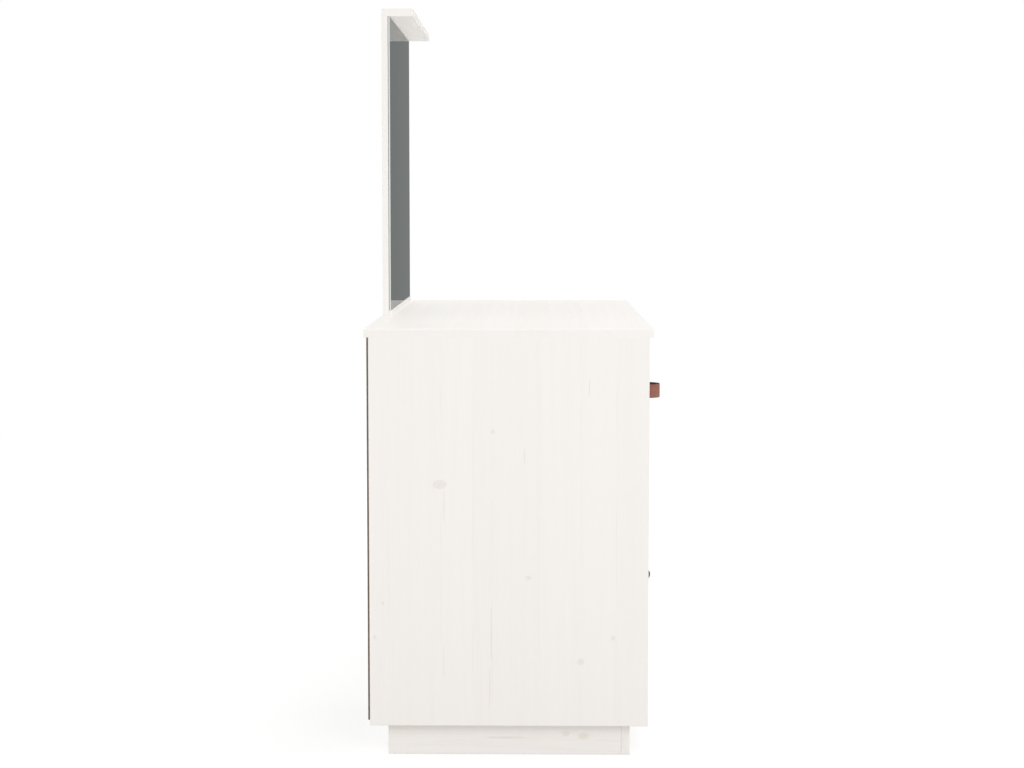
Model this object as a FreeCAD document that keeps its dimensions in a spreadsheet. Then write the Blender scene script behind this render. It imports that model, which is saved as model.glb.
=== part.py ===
import FreeCAD, Part
import Sketcher
import math
import os
import re

# Dressing table of white pine boards: a pedestal on the left with a drawer above a cupboard door,
# a knee space on the right, and a mirror that stands on the back of the tabletop.
# Millimetres. +Z is up from the floor, -Y is the front and +X is to the right of a person in front.
# The origin is on the floor below the middle of the whole table, strap handle included.

# Driving sizes: name, value and meaning. Each one is a named cell of the sheet.
SIZES = [
    ("top_width", 950, "tabletop from left to right"),
    ("top_depth", 500, "tabletop from front to back"),
    ("table_height", 750, "floor to the top of the tabletop"),
    ("board", 15, "thickness of the pine boards"),
    ("front_overhang", 7.5, "tabletop beyond the drawer and door fronts"),
    ("back_overhang", 5, "tabletop beyond the back sheet"),
    ("back_sheet", 3, "thickness of the back sheet"),
    ("back_inset", 1, "back sheet short of the pedestal's sides"),
    ("back_rise", 10, "back sheet above the underside of the pedestal"),
    ("plinth_height", 56, "height of the plinth"),
    ("plinth_inset", 30.5, "plinth behind the front and before the back"),
    ("plinth_side_inset", 20, "plinth inside the pedestal's sides"),
    ("pedestal_width", 380, "pedestal from side to side"),
    ("drawer_opening", 218, "height of the drawer's opening"),
    ("reveal", 2, "gap round the drawer front and the door"),
    ("rail_height", 250, "height of the rail behind the knee space"),
    ("rail_setback", 25, "rail before the back edge of the panels"),
    ("top_round", 2.5, "rounding of the tabletop"),
    ("edge_round", 1.5, "rounding of the other boards"),
    ("fit_gap", 0.1, "clearance round a pin or in a groove"),
    ("end_gap", 0.5, "room past the end of a pin in its hole"),
    ("run_gap", 0.3, "clearance between pieces that pass each other"),
    ("shelf_height", 285, "floor to the underside of the shelf"),
    ("shelf_gap", 1, "shelf short of the cupboard's walls"),
    ("shelf_front_gap", 12, "shelf behind the door"),
    ("support_inset", 40, "shelf support from the shelf's edge"),
    ("support_width", 12, "width of a shelf support"),
    ("support_reach", 9, "shelf support out of the wall"),
    ("support_thick", 3, "thickness of a shelf support"),
    ("support_pin", 2.5, "radius of a shelf support's pin"),
    ("support_pin_depth", 8, "depth of that pin in the wall"),
    ("mirror_width", 550, "mirror from left to right"),
    ("mirror_height", 570, "height of the mirror's back board"),
    ("mirror_board", 12, "thickness of the mirror's back board"),
    ("mirror_setback", 2.5, "mirror before the tabletop's back edge"),
    ("mirror_margin", 17.5, "mirror from the tabletop's right edge"),
    ("mirror_tape", 0.8, "thickness of the mirror tape"),
    ("tape_width", 25, "width of a strip of mirror tape"),
    ("tape_margin", 60, "tape from the edges of the glass"),
    ("glass_thick", 3, "thickness of the mirror glass"),
    ("glass_margin", 1, "glass short of its board at each side"),
    ("glass_round", 0.4, "rounding of the glass edges"),
    ("ledge_height", 9.5, "height of the ledge below the glass"),
    ("ledge_depth", 6, "depth of that ledge"),
    ("shelf_top_depth", 60, "depth of the board on top of the mirror"),
    ("drawer_wall", 12, "thickness of the drawer's sides and back"),
    ("drawer_wall_height", 150, "height of the drawer's sides"),
    ("drawer_length", 420, "length of the drawer's sides"),
    ("drawer_lift", 18, "drawer's sides above the divider"),
    ("drawer_floor", 4, "thickness of the drawer's bottom panel"),
    ("groove_depth", 6, "depth of the groove for the bottom panel"),
    ("groove_rise", 14, "groove above the lower edge of the sides"),
    ("groove_slack", 0.5, "bottom panel short of the groove's end"),
    ("runner_gap", 12.5, "space beside the drawer for a runner"),
    ("runner_sheet", 1.2, "sheet thickness of the runners"),
    ("runner_length", 400, "length of the runners"),
    ("runner_start", 3, "cabinet runner behind the drawer front"),
    ("drawer_runner_start", 1, "drawer runner behind the drawer front"),
    ("runner_flange", 10.5, "cabinet runner out of the wall"),
    ("runner_foot", 11, "drawer runner below the drawer's side"),
    ("track_start", 2, "drawer runner's track from the wall"),
    ("track_room", 1.5, "room above that track"),
    ("roller_radius", 8, "radius of a roller"),
    ("roller_width", 6.6, "width of a roller"),
    ("roller_chamfer", 0.6, "chamfer on a roller's edges"),
    ("roller_side_gap", 0.4, "roller from the runner that carries it"),
    ("roller_rise", 8.8, "roller axis above the drawer's sides"),
    ("roller_inset", 12, "roller axis from the end of its runner"),
    ("axle_radius", 2, "radius of a roller's axle"),
    ("axle_gap", 0.05, "running clearance of axles and pivots"),
    ("axle_head_radius", 3, "radius of an axle's head"),
    ("axle_head", 0.7, "thickness of an axle's head"),
    ("runner_screw_inset", 40, "screw from the end of its runner"),
    ("runner_screw_length", 10, "runner screw in the wood"),
    ("strap_height", 25, "height of the leather strap"),
    ("strap_thick", 2.5, "thickness of the strap"),
    ("handle_reach", 30, "strap out of the drawer front"),
    ("strap_span", 58, "strap between its two tabs"),
    ("strap_bend", 8, "radius of the bend beside each tab"),
    ("strap_tab", 20, "length of a tab"),
    ("strap_screw_inset", 10, "strap screw from the end of its tab"),
    ("knob_radius", 11, "radius of the knob"),
    ("knob_reach", 22, "knob out of the door"),
    ("knob_foot_radius", 7, "radius of the knob's foot"),
    ("knob_neck_radius", 5.5, "radius of the knob's neck"),
    ("knob_head", 13, "length of the knob's head"),
    ("knob_dome", 10.5, "rounding of the front of the knob's head"),
    ("knob_round", 2, "rounding of the back of the knob's head"),
    ("knob_edge", 50, "knob from the free edge of the door"),
    ("knob_height", 262, "floor to the knob's centre"),
    ("knob_screw_depth", 12, "knob screw inside the knob"),
    ("pivot_radius", 3, "radius of a door pivot pin"),
    ("pivot_depth", 20, "pivot pin inside the door"),
    ("pivot_tail", 8, "pivot pin inside its bush"),
    ("bush_radius", 5, "outer radius of a pivot bush"),
    ("bush_depth", 10, "pivot bush inside its board"),
    ("bush_flange_radius", 7, "radius of a pivot bush's flange"),
    ("catch_width", 24, "width of the magnetic catch"),
    ("catch_ear", 10, "width of each ear of the catch"),
    ("catch_ear_thick", 2.5, "thickness of an ear"),
    ("catch_height", 12, "height of the catch"),
    ("catch_depth", 13, "depth of the catch"),
    ("catch_edge", 60, "middle of the catch from the free side"),
    ("plate_width", 26, "width of the catch's plate"),
    ("plate_height", 9, "height of the plate"),
    ("plate_thick", 1.2, "thickness of the plate"),
    ("dowel_radius", 4, "radius of a carcass dowel"),
    ("dowel_short", 9, "dowel in the face of a board"),
    ("dowel_long", 21, "dowel in the edge of a board"),
    ("dowel_inset", 55, "dowel from the front or back of a panel"),
    ("slim_dowel_radius", 3, "radius of a drawer or mirror dowel"),
    ("cam_radius", 7.5, "radius of a cam lock"),
    ("cam_depth", 11.5, "depth of a cam lock"),
    ("cam_setback", 24, "cam lock from the joint"),
    ("cam_inset", 105, "cam lock from the front or back of a panel"),
    ("cam_cross", 4.5, "half length of a cam's cross slot"),
    ("cam_cross_half", 0.7, "half width of that slot"),
    ("cam_cross_depth", 2.5, "depth of that slot"),
    ("bolt_radius", 2.5, "radius of a cam bolt's shank"),
    ("bolt_thread_radius", 3.4, "radius of a cam bolt's thread"),
    ("bolt_thread", 10, "length of that thread"),
    ("bolt_head", 1.5, "half length of a cam bolt's head"),
    ("screw_radius", 1.75, "radius of a small screw"),
    ("screw_head_radius", 3, "radius of a small screw's head"),
    ("screw_head", 1.6, "height of a small screw's head"),
    ("head_crown", 0.7, "crown of a screw head as a share of its rim"),
    ("back_screw_head", 0.8, "height of a back sheet screw's head"),
    ("back_screw_length", 13, "back sheet screw in the wood"),
    ("back_screw_inset", 20, "back sheet screw from the sheet's end"),
    ("wood_screw_radius", 2, "radius of a wood screw"),
    ("wood_screw_head_radius", 4, "radius of a wood screw's head"),
    ("wood_screw_head", 2.6, "depth of that countersunk head"),
    ("drawer_screw_length", 40, "screw through the drawer's side"),
    ("drawer_joint_low", 50, "lower fixings above the drawer sides' lower edge"),
    ("drawer_joint_high", 30, "upper fixings below the drawer sides' upper edge"),
    ("mirror_screw_grip", 35, "mirror screw in the mirror's back board"),
    ("mirror_screw_inset", 60, "mirror screw from the mirror's side"),
    ("mirror_dowel_inset", 50, "mirror dowel from the mirror's side"),
    ("block_side", 28, "side of a plinth corner block"),
    ("block_rise", 8, "corner block above the floor"),
    ("block_screw_grip", 9, "plinth screw in the pedestal's bottom"),
    ("strap_screw_head_radius", 4.5, "radius of a strap screw's head"),
    ("strap_screw_head", 2.4, "height of a strap screw's head"),
    ("strap_screw_length", 11, "strap screw in the drawer front"),
]

# Places worked out from the sizes.
PLACES = {
    "left_x": "-top_width / 2",
    "right_x": "top_width / 2",
    "back_y": "(top_depth - front_overhang + handle_reach) / 2",
    "front_y": "back_y - top_depth + front_overhang",
    "panel_back": "back_y - back_overhang - back_sheet",
    "panel_middle": "(front_y + panel_back) / 2",
    "under_top": "table_height - board",
    "bay_left": "left_x + board",
    "pedestal_right": "left_x + pedestal_width",
    "bay_right": "pedestal_right - board",
    "bay_middle": "(bay_left + bay_right) / 2",
    "knee_right": "right_x - board",
    "knee_middle": "(pedestal_right + knee_right) / 2",
    "cupboard_floor": "plinth_height + board",
    "divider_top": "under_top - drawer_opening",
    "divider_under": "divider_top - board",
    "fronts_back": "front_y + board",
    "plinth_left": "left_x + plinth_side_inset",
    "plinth_right": "pedestal_right - plinth_side_inset",
    "plinth_front": "front_y + plinth_inset",
    "plinth_back": "panel_back - plinth_inset",
    "back_low": "plinth_height + back_rise",
    "back_face": "panel_back + back_sheet",
    "rail_back": "panel_back - rail_setback",
    "rail_middle": "rail_back - board / 2",
    "mirror_right": "right_x - mirror_margin",
    "mirror_left": "mirror_right - mirror_width",
    "mirror_middle": "(mirror_left + mirror_right) / 2",
    "mirror_back": "back_y - mirror_setback",
    "mirror_face": "mirror_back - mirror_board",
    "mirror_core": "mirror_back - mirror_board / 2",
    "mirror_top": "table_height + mirror_height",
    "glass_back": "mirror_face - mirror_tape",
    "glass_low": "table_height + ledge_height",
    "glass_high": "mirror_top - end_gap",
    "box_left": "bay_left + runner_gap",
    "box_right": "bay_right - runner_gap",
    "box_back": "fronts_back + drawer_length",
    "box_low": "divider_top + drawer_lift",
    "box_high": "box_low + drawer_wall_height",
    "floor_low": "box_low + groove_rise",
    "floor_high": "floor_low + drawer_floor",
    "handle_z": "(divider_top + under_top) / 2",
    "roller_z": "box_low + roller_rise",
    "cabinet_runner_front": "fronts_back + runner_start",
    "cabinet_runner_back": "cabinet_runner_front + runner_length",
    "drawer_runner_front": "fronts_back + drawer_runner_start",
    "drawer_runner_back": "drawer_runner_front + runner_length",
    "front_roller_y": "cabinet_runner_front + roller_inset",
    "rear_roller_y": "drawer_runner_back - roller_inset",
    "door_left": "bay_left + reveal",
    "door_right": "bay_right - reveal",
    "door_low": "cupboard_floor + reveal",
    "door_high": "divider_under - reveal",
    "pivot_x": "door_left + board / 2",
    "pivot_y": "front_y + board / 2",
    "knob_x": "door_right - knob_edge",
    "catch_x": "bay_right - catch_edge",
    "catch_front": "fronts_back + plate_thick + run_gap",
}

MIRRORED = {"+X": "-X", "-X": "+X"}
TOUCHING = 1e-6
DIRECTIONS = {
    "+X": FreeCAD.Vector(1, 0, 0),
    "-X": FreeCAD.Vector(-1, 0, 0),
    "+Y": FreeCAD.Vector(0, 1, 0),
    "-Y": FreeCAD.Vector(0, -1, 0),
    "+Z": FreeCAD.Vector(0, 0, 1),
    "-Z": FreeCAD.Vector(0, 0, -1),
}

doc = FreeCAD.newDocument("dressing_table")
sheet = doc.addObject("Spreadsheet::Sheet", "Sizes")
for row, (alias, number, meaning) in enumerate(SIZES, start=1):
    sheet.set(f"A{row}", meaning)
    sheet.set(f"B{row}", str(number))
    sheet.setAlias(f"B{row}", alias)
doc.recompute()

boards = {}      # node: the undrilled board
cuts = {}        # node: what is cut out of that board
finished = {}    # node: the finished sub-part


def formula(words):
    """Write out named sizes and places as an expression on the sheet's cells."""
    def cell(match):
        name = match.group(0)
        if name in PLACES:
            return f"({formula(PLACES[name])})"
        return f"Sizes.{name}"
    return re.sub(r"[a-z][a-z_]+", cell, words)


def value(words):
    """The number that a formula stands for, in millimetres."""
    return float(sheet.evalExpression(formula(words)))


def bind(thing, settings):
    for name, words in settings.items():
        thing.setExpression(name, formula(words))


def put(thing, at, axis="+Z"):
    """Place a thing at a point, with its own +Z along an axis of the frame."""
    turn = FreeCAD.Rotation(DIRECTIONS["+Z"], DIRECTIONS[axis])
    thing.Placement = FreeCAD.Placement(FreeCAD.Vector(), turn)
    bind(thing, {f".Placement.Base.{letter}": words for letter, words in zip("xyz", at)})


def along(at, axis, distance):
    """A point moved along an axis of the frame."""
    moved = list(at)
    index = "XYZ".index(axis[1])
    moved[index] = f"{at[index]} {axis[0]} ({distance})"
    return moved


def rod(name, at, axis, start, length, radius):
    """Cylinder that starts at a distance from a point and runs along an axis."""
    cylinder = doc.addObject("Part::Cylinder", name)
    bind(cylinder, {"Radius": radius, "Height": length})
    put(cylinder, along(at, axis, start), axis)
    return cylinder


def taper(name, at, axis, start, length, first_radius, last_radius):
    """Cone that starts at a distance from a point and runs along an axis."""
    cone = doc.addObject("Part::Cone", name)
    bind(cone, {"Radius1": first_radius, "Radius2": last_radius, "Height": length})
    put(cone, along(at, axis, start), axis)
    return cone


def block(name, low, high):
    """Box between two corners."""
    box = doc.addObject("Part::Box", name)
    spans = [f"({top}) - ({bottom})" for bottom, top in zip(low, high)]
    bind(box, dict(zip(("Length", "Width", "Height"), spans)))
    put(box, low)
    return box


def joined(name, pieces):
    fuse = doc.addObject("Part::MultiFuse", name)
    fuse.Shapes = pieces
    return fuse


def without(name, base, tools):
    """A piece less one or more others."""
    cut = doc.addObject("Part::Cut", name)
    cut.Base = base
    cut.Tool = tools[0] if len(tools) == 1 else joined(f"{name}_tools", tools)
    return cut


def finish(node, thing):
    thing.Label = node
    finished[node] = thing


def group(node, pieces):
    """One node of several separate solids."""
    compound = doc.addObject("Part::Compound", node)
    compound.Links = pieces
    finish(node, compound)


def outline(body, role, points):
    """Closed sketch of straight sides on one of the body's own planes."""
    sketch = body.newObject("Sketcher::SketchObject", f"{body.Name}_outline")
    plane = next(feature for feature in body.Origin.OriginFeatures if feature.Role == role)
    sketch.AttachmentSupport = [(plane, "")]
    sketch.MapMode = "FlatFace"
    corners = [FreeCAD.Vector(value(across), value(up), 0) for across, up in points]
    following = corners[1:] + corners[:1]
    for start, end in zip(corners, following):
        sketch.addGeometry(Part.LineSegment(start, end), False)
    count = len(corners)
    for side in range(count):
        sketch.addConstraint(Sketcher.Constraint("Coincident", side, 2, (side + 1) % count, 1))
    for side, (across, up) in enumerate(points):
        hold(sketch, side, "DistanceX", -2, across, corners[side].x)
        hold(sketch, side, "DistanceY", -1, up, corners[side].y)
    return sketch


def hold(sketch, side, kind, axis, words, distance):
    """Tie one coordinate of a sketch corner to a formula, or to the axis where it is nought."""
    if words == "0":
        sketch.addConstraint(Sketcher.Constraint("PointOnObject", side, 1, axis))
        return
    index = sketch.addConstraint(Sketcher.Constraint(kind, -1, 1, side, 1, distance))
    bind(sketch, {f"Constraints[{index}]": words})


def extruded(node, role, points, length):
    """Body made by padding an outline."""
    body = doc.addObject("PartDesign::Body", node)
    pad = body.newObject("PartDesign::Pad", f"{node}_pad")
    pad.Profile = outline(body, role, points)
    bind(pad, {"Length": length})
    body.Tip = pad
    return body


def turned(node, points):
    """Body made by revolving an outline of radius and height about its own Z axis."""
    body = doc.addObject("PartDesign::Body", node)
    sketch = outline(body, "XZ_Plane", points)
    spin = body.newObject("PartDesign::Revolution", f"{node}_turning")
    spin.Profile = sketch
    spin.ReferenceAxis = (sketch, ["V_Axis"])
    spin.Angle = 360
    body.Tip = spin
    return body


def board(node, low, high, radius="edge_round", sharp=()):
    """Flat board between two corners. Its edges are rounded, apart from those on the sharp faces."""
    width, depth, height = [f"({top}) - ({bottom})" for bottom, top in zip(low, high)]
    corners = [("0", "0"), (width, "0"), (width, depth), ("0", depth)]
    body = extruded(f"{node}_blank", "XY_Plane", corners, height)
    put(body, low)
    boards[node] = (body, radius, sharp)
    cuts[node] = []


def faces_of_edge(edge, box):
    """The names of the two outer faces of a box that an edge lies on."""
    middle = edge.CenterOfMass
    limits = {
        "left": middle.x - box.XMin,
        "right": box.XMax - middle.x,
        "front": middle.y - box.YMin,
        "back": box.YMax - middle.y,
        "bottom": middle.z - box.ZMin,
        "top": box.ZMax - middle.z,
    }
    return [face for face, distance in limits.items() if abs(distance) < TOUCHING]


def round_boards():
    """Round the edges of every board, except where another board meets it flush."""
    doc.recompute()
    for body, radius, sharp in boards.values():
        pad = body.Tip
        names = []
        for index, edge in enumerate(pad.Shape.Edges, start=1):
            faces = faces_of_edge(edge, pad.Shape.BoundBox)
            meets = any(face in sharp for face in faces) or " ".join(faces) in sharp
            if not meets:
                names.append(f"Edge{index}")
        fillet = body.newObject("PartDesign::Fillet", f"{body.Name}_rounding")
        fillet.Base = (pad, names)
        bind(fillet, {"Radius": radius})
        body.Tip = fillet


def drill_boards():
    for node, (body, _, _) in boards.items():
        finish(node, without(node, body, cuts[node]) if cuts[node] else body)


def dowel(at, axis, edge_board, face_board, radius):
    """Dowel across a joint: its long end in the edge of one board, its short end in the other's face."""
    length = "dowel_long + dowel_short"
    hole = rod("dowel_hole", at, axis, "-dowel_long - end_gap", f"{length} + 2 * end_gap",
               f"{radius} + fit_gap")
    cuts[edge_board].append(hole)
    cuts[face_board].append(hole)
    return rod("dowel", at, axis, "-dowel_long", length, radius)


def cam_joint(at, axis, opening, edge_board, face_board):
    """Cam lock in one board and the bolt it draws, which is screwed into the other board's face.

    at is on the joint, in the middle of the edge, axis points out of the edge board,
    and opening is the way that the cam's own face looks.
    """
    inward = opening.translate(str.maketrans("+-", "-+"))
    mouth = along(along(at, axis, "-cam_setback"), opening, "board / 2")
    cuts[edge_board].append(rod("cam_seat", mouth, inward, "0", "cam_depth + fit_gap", "cam_radius"))
    cuts[edge_board].append(
        rod("bolt_way", at, axis, "-cam_setback", "cam_setback", "bolt_thread_radius + end_gap"))
    cuts[face_board].append(
        rod("bolt_seat", at, axis, "0", "bolt_thread + end_gap", "bolt_thread_radius + fit_gap"))
    blank = rod("cam_blank", mouth, inward, "fit_gap", "cam_depth - fit_gap", "cam_radius - fit_gap")
    throat = rod("cam_throat", at, axis, "-cam_setback - bolt_head - run_gap", "cam_setback",
                 "bolt_thread_radius + run_gap")
    cam = without("cam", blank, [throat] + cam_cross(mouth, opening))
    thread = rod("bolt_thread", at, axis, "0", "bolt_thread", "bolt_thread_radius")
    shank = rod("bolt_shank", at, axis, "-cam_setback", "cam_setback", "bolt_radius")
    head = rod("bolt_head", at, axis, "-cam_setback - bolt_head", "2 * bolt_head", "bolt_thread_radius")
    return cam, joined("cam_bolt", [thread, shank, head])


def cam_cross(mouth, opening):
    """The two bars of the cross slot in a cam's face."""
    depth_axis = "XYZ".index(opening[1])
    flat = [index for index in range(3) if index != depth_axis]
    bars = []
    for long_axis in flat:
        half = {index: "cam_cross" if index == long_axis else "cam_cross_half" for index in flat}
        half[depth_axis] = "cam_cross_depth"
        low = [f"{mouth[index]} - {half[index]}" for index in range(3)]
        high = [f"{mouth[index]} + {half[index]}" for index in range(3)]
        bars.append(block("cam_slot", low, high))
    return bars


def pan_screw(at, axis, length, through, height="screw_head"):
    """Screw whose head stands on a face at a point. Its shank runs along the axis."""
    for node in through:
        cuts[node].append(rod("screw_hole", at, axis, "-fit_gap", f"{length} + fit_gap + end_gap",
                              "screw_radius + fit_gap"))
    head = taper("screw_head", at, axis, f"-{height}", height, "head_crown * screw_head_radius",
                 "screw_head_radius")
    shank = rod("screw_shank", at, axis, "0", length, "screw_radius")
    return joined("pan_screw", [head, shank])


def wood_screw(at, axis, length, through):
    """Countersunk screw whose head is flush with a face at a point."""
    for node in through:
        cuts[node].append(taper("sink", at, axis, "-fit_gap", "wood_screw_head + 2 * fit_gap",
                                "wood_screw_head_radius + 2 * fit_gap", "wood_screw_radius + 2 * fit_gap"))
        cuts[node].append(rod("screw_hole", at, axis, "0", f"{length} + end_gap",
                              "wood_screw_radius + fit_gap"))
    head = taper("screw_head", at, axis, "0", "wood_screw_head", "wood_screw_head_radius",
                 "wood_screw_radius")
    shank = rod("screw_shank", at, axis, "0", length, "wood_screw_radius")
    return joined("wood_screw", [head, shank])


# Carcass boards.
board("tabletop", ("left_x", "back_y - top_depth", "under_top"), ("right_x", "back_y", "table_height"),
      radius="top_round", sharp=("bottom",))
PANEL_SHARP = ("left top", "right top")
board("left_side_panel", ("left_x", "front_y", "plinth_height"), ("bay_left", "panel_back", "under_top"),
      sharp=PANEL_SHARP)
board("pedestal_partition", ("bay_right", "front_y", "plinth_height"),
      ("pedestal_right", "panel_back", "under_top"), sharp=PANEL_SHARP)
board("right_side_panel", ("knee_right", "front_y", "plinth_height"),
      ("right_x", "panel_back", "under_top"), sharp=PANEL_SHARP)
board("pedestal_bottom_board", ("bay_left", "front_y", "plinth_height"),
      ("bay_right", "panel_back", "cupboard_floor"), sharp=("left", "right"))
board("drawer_divider", ("bay_left", "front_y", "divider_under"),
      ("bay_right", "panel_back", "divider_top"), sharp=("left", "right"))
board("pedestal_back_board", ("left_x + back_inset", "panel_back", "back_low"),
      ("pedestal_right - back_inset", "back_face", "under_top"), radius="glass_round")
board("knee_back_rail", ("pedestal_right", "rail_back - board", "under_top - rail_height"),
      ("knee_right", "rail_back", "under_top"), sharp=("left", "right", "top"))
board("cupboard_shelf", ("bay_left + shelf_gap", "fronts_back + shelf_front_gap", "shelf_height"),
      ("bay_right - shelf_gap", "panel_back - shelf_gap", "shelf_height + board"))

# Plinth below the pedestal, and the foot rail below the right side panel.
board("plinth_front_board", ("plinth_left", "plinth_front", "0"),
      ("plinth_right", "plinth_front + board", "plinth_height"), sharp=("top",))
board("plinth_left_board", ("plinth_left", "plinth_front + board", "0"),
      ("plinth_left + board", "plinth_back", "plinth_height"), sharp=("top",))
board("plinth_right_board", ("plinth_right - board", "plinth_front + board", "0"),
      ("plinth_right", "plinth_back", "plinth_height"), sharp=("top",))
board("plinth_back_board", ("plinth_left + board", "plinth_back - board", "0"),
      ("plinth_right - board", "plinth_back", "plinth_height"), sharp=("top", "left", "right"))
board("right_foot_rail", ("knee_right", "plinth_front", "0"),
      ("right_x", "plinth_back", "plinth_height"), sharp=("top",))

# Mirror: a board that stands on the tabletop, a ledge for the glass, and a narrow board on top.
board("mirror_back_board", ("mirror_left", "mirror_face", "table_height"),
      ("mirror_right", "mirror_back", "mirror_top"), sharp=("top", "bottom"))
board("mirror_ledge", ("mirror_left", "mirror_face - ledge_depth", "table_height"),
      ("mirror_right", "mirror_face", "glass_low"), radius="glass_round", sharp=("bottom", "back"))
board("mirror_glass", ("mirror_left + glass_margin", "glass_back - glass_thick", "glass_low"),
      ("mirror_right - glass_margin", "glass_back", "glass_high"), radius="glass_round")
board("mirror_top_board", ("mirror_left", "mirror_back - shelf_top_depth", "mirror_top"),
      ("mirror_right", "mirror_back", "mirror_top + board"), sharp=("bottom",))
TAPE_STRIPS = 4
tape_step = f"(mirror_width - 2 * tape_margin - tape_width) / {TAPE_STRIPS - 1}"
strips = []
for strip in range(TAPE_STRIPS):
    start = f"mirror_left + tape_margin + {strip} * {tape_step}"
    strips.append(block("tape_strip", (start, "glass_back", "glass_low + tape_margin"),
                        (f"{start} + tape_width", "mirror_face", "glass_high - tape_margin")))
group("mirror_tape", strips)

# Drawer box behind its front.
board("drawer_front", ("door_left", "front_y", "divider_top + reveal"),
      ("door_right", "fronts_back", "under_top - reveal"))
DRAWER_SIDES = {
    "drawer_side_left": ("box_left", "box_left + drawer_wall"),
    "drawer_side_right": ("box_right - drawer_wall", "box_right"),
}
for node, (low_x, high_x) in DRAWER_SIDES.items():
    board(node, (low_x, "fronts_back", "box_low"), (high_x, "box_back", "box_high"), sharp=("front",))
board("drawer_back", ("box_left + drawer_wall", "box_back - drawer_wall", "floor_high"),
      ("box_right - drawer_wall", "box_back", "box_high"), sharp=("left", "right", "bottom"))
groove_left = "box_left + drawer_wall - groove_depth"
groove_right = "box_right - drawer_wall + groove_depth"
board("drawer_bottom_panel",
      (f"{groove_left} + groove_slack", "fronts_back - groove_depth + groove_slack", "floor_low"),
      (f"{groove_right} - groove_slack", "box_back", "floor_high"), radius="glass_round")
groove = block("bottom_groove", (groove_left, "fronts_back - groove_depth", "floor_low - fit_gap"),
               (groove_right, "box_back + board", "floor_high + fit_gap"))
for node in ["drawer_front", *DRAWER_SIDES]:
    cuts[node].append(groove)

# Dowels and cam locks that hold the carcass together.
PANEL_CENTRES = {
    "left_side_panel": ("left_x + board / 2", "+X"),
    "pedestal_partition": ("pedestal_right - board / 2", "-X"),
    "right_side_panel": ("right_x - board / 2", "-X"),
}
dowels = []
cams = []
for node, (centre, inner) in PANEL_CENTRES.items():
    for y in ("front_y + dowel_inset", "panel_back - dowel_inset"):
        dowels.append(dowel((centre, y, "under_top"), "+Z", node, "tabletop", "dowel_radius"))
    for y in ("front_y + cam_inset", "panel_back - cam_inset"):
        cams.append(cam_joint((centre, y, "under_top"), "+Z", inner, node, "tabletop"))
BOARD_ENDS = (("bay_left", "-X", "left_side_panel"), ("bay_right", "+X", "pedestal_partition"))
CROSS_BOARDS = {
    "pedestal_bottom_board": "plinth_height + board / 2",
    "drawer_divider": "divider_top - board / 2",
}
for node, z in CROSS_BOARDS.items():
    for x, axis, panel in BOARD_ENDS:
        for y in ("front_y + dowel_inset", "panel_back - dowel_inset"):
            dowels.append(dowel((x, y, z), axis, node, panel, "dowel_radius"))
        for y in ("front_y + cam_inset", "panel_back - cam_inset"):
            cams.append(cam_joint((x, y, z), axis, "-Z", node, panel))
RAIL_ENDS = (("pedestal_right", "-X", "pedestal_partition"), ("knee_right", "+X", "right_side_panel"))
for x, axis, panel in RAIL_ENDS:
    for z in ("under_top - rail_height / 4", "under_top - 3 * rail_height / 4"):
        dowels.append(dowel((x, "rail_middle", z), axis, "knee_back_rail", panel, "dowel_radius"))
    rail_cam = (x, "rail_middle", "under_top - rail_height / 2")
    cams.append(cam_joint(rail_cam, axis, "+Y", "knee_back_rail", panel))
    rail_dowel = along((x, "rail_middle", "under_top"), MIRRORED[axis], "cam_inset")
    dowels.append(dowel(rail_dowel, "+Z", "knee_back_rail", "tabletop", "dowel_radius"))
for y in ("plinth_front + dowel_inset", "panel_middle", "plinth_back - dowel_inset"):
    foot_dowel = ("right_x - board / 2", y, "plinth_height")
    dowels.append(dowel(foot_dowel, "-Z", "right_side_panel", "right_foot_rail", "dowel_radius"))
group("carcass_dowels", dowels)
group("cam_locks", [cam for cam, _ in cams])
group("cam_bolts", [bolt for _, bolt in cams])

# Corner blocks that fix the plinth to the pedestal's bottom board.
blocks = []
plinth_screws = []
for x_start, x_sign in (("plinth_left + board", "+"), ("plinth_right - board", "-")):
    for y_start, y_sign in (("plinth_front + board", "+"), ("plinth_back - board", "-")):
        x_centre = f"{x_start} {x_sign} block_side / 2"
        y_centre = f"{y_start} {y_sign} block_side / 2"
        blank = block("corner_block",
                      (f"{x_centre} - block_side / 2", f"{y_centre} - block_side / 2", "block_rise"),
                      (f"{x_centre} + block_side / 2", f"{y_centre} + block_side / 2", "plinth_height"))
        name = f"corner_block_{len(blocks)}"
        cuts[name] = []
        plinth_screws.append(wood_screw((x_centre, y_centre, "block_rise"), "+Z",
                                        "plinth_height - block_rise + block_screw_grip",
                                        [name, "pedestal_bottom_board"]))
        blocks.append(without(name, blank, cuts[name]))
group("plinth_corner_blocks", blocks)
group("plinth_screws", plinth_screws)

# Screws that hold the back sheet.
back_screws = []
BACK_ROWS = 4
row_step = f"(under_top - back_low - 2 * back_screw_inset) / {BACK_ROWS - 1}"
back_grip = "back_sheet + back_screw_length"
for panel in ("left_side_panel", "pedestal_partition"):
    for row in range(BACK_ROWS):
        seat = (PANEL_CENTRES[panel][0], "back_face", f"back_low + back_screw_inset + {row} * {row_step}")
        back_screws.append(pan_screw(seat, "-Y", back_grip, ["pedestal_back_board", panel],
                                     "back_screw_head"))
for x in ("(bay_left + bay_middle) / 2", "(bay_middle + bay_right) / 2"):
    seat = (x, "back_face", CROSS_BOARDS["drawer_divider"])
    back_screws.append(pan_screw(seat, "-Y", back_grip, ["pedestal_back_board", "drawer_divider"],
                                 "back_screw_head"))
group("back_board_screws", back_screws)

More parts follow.
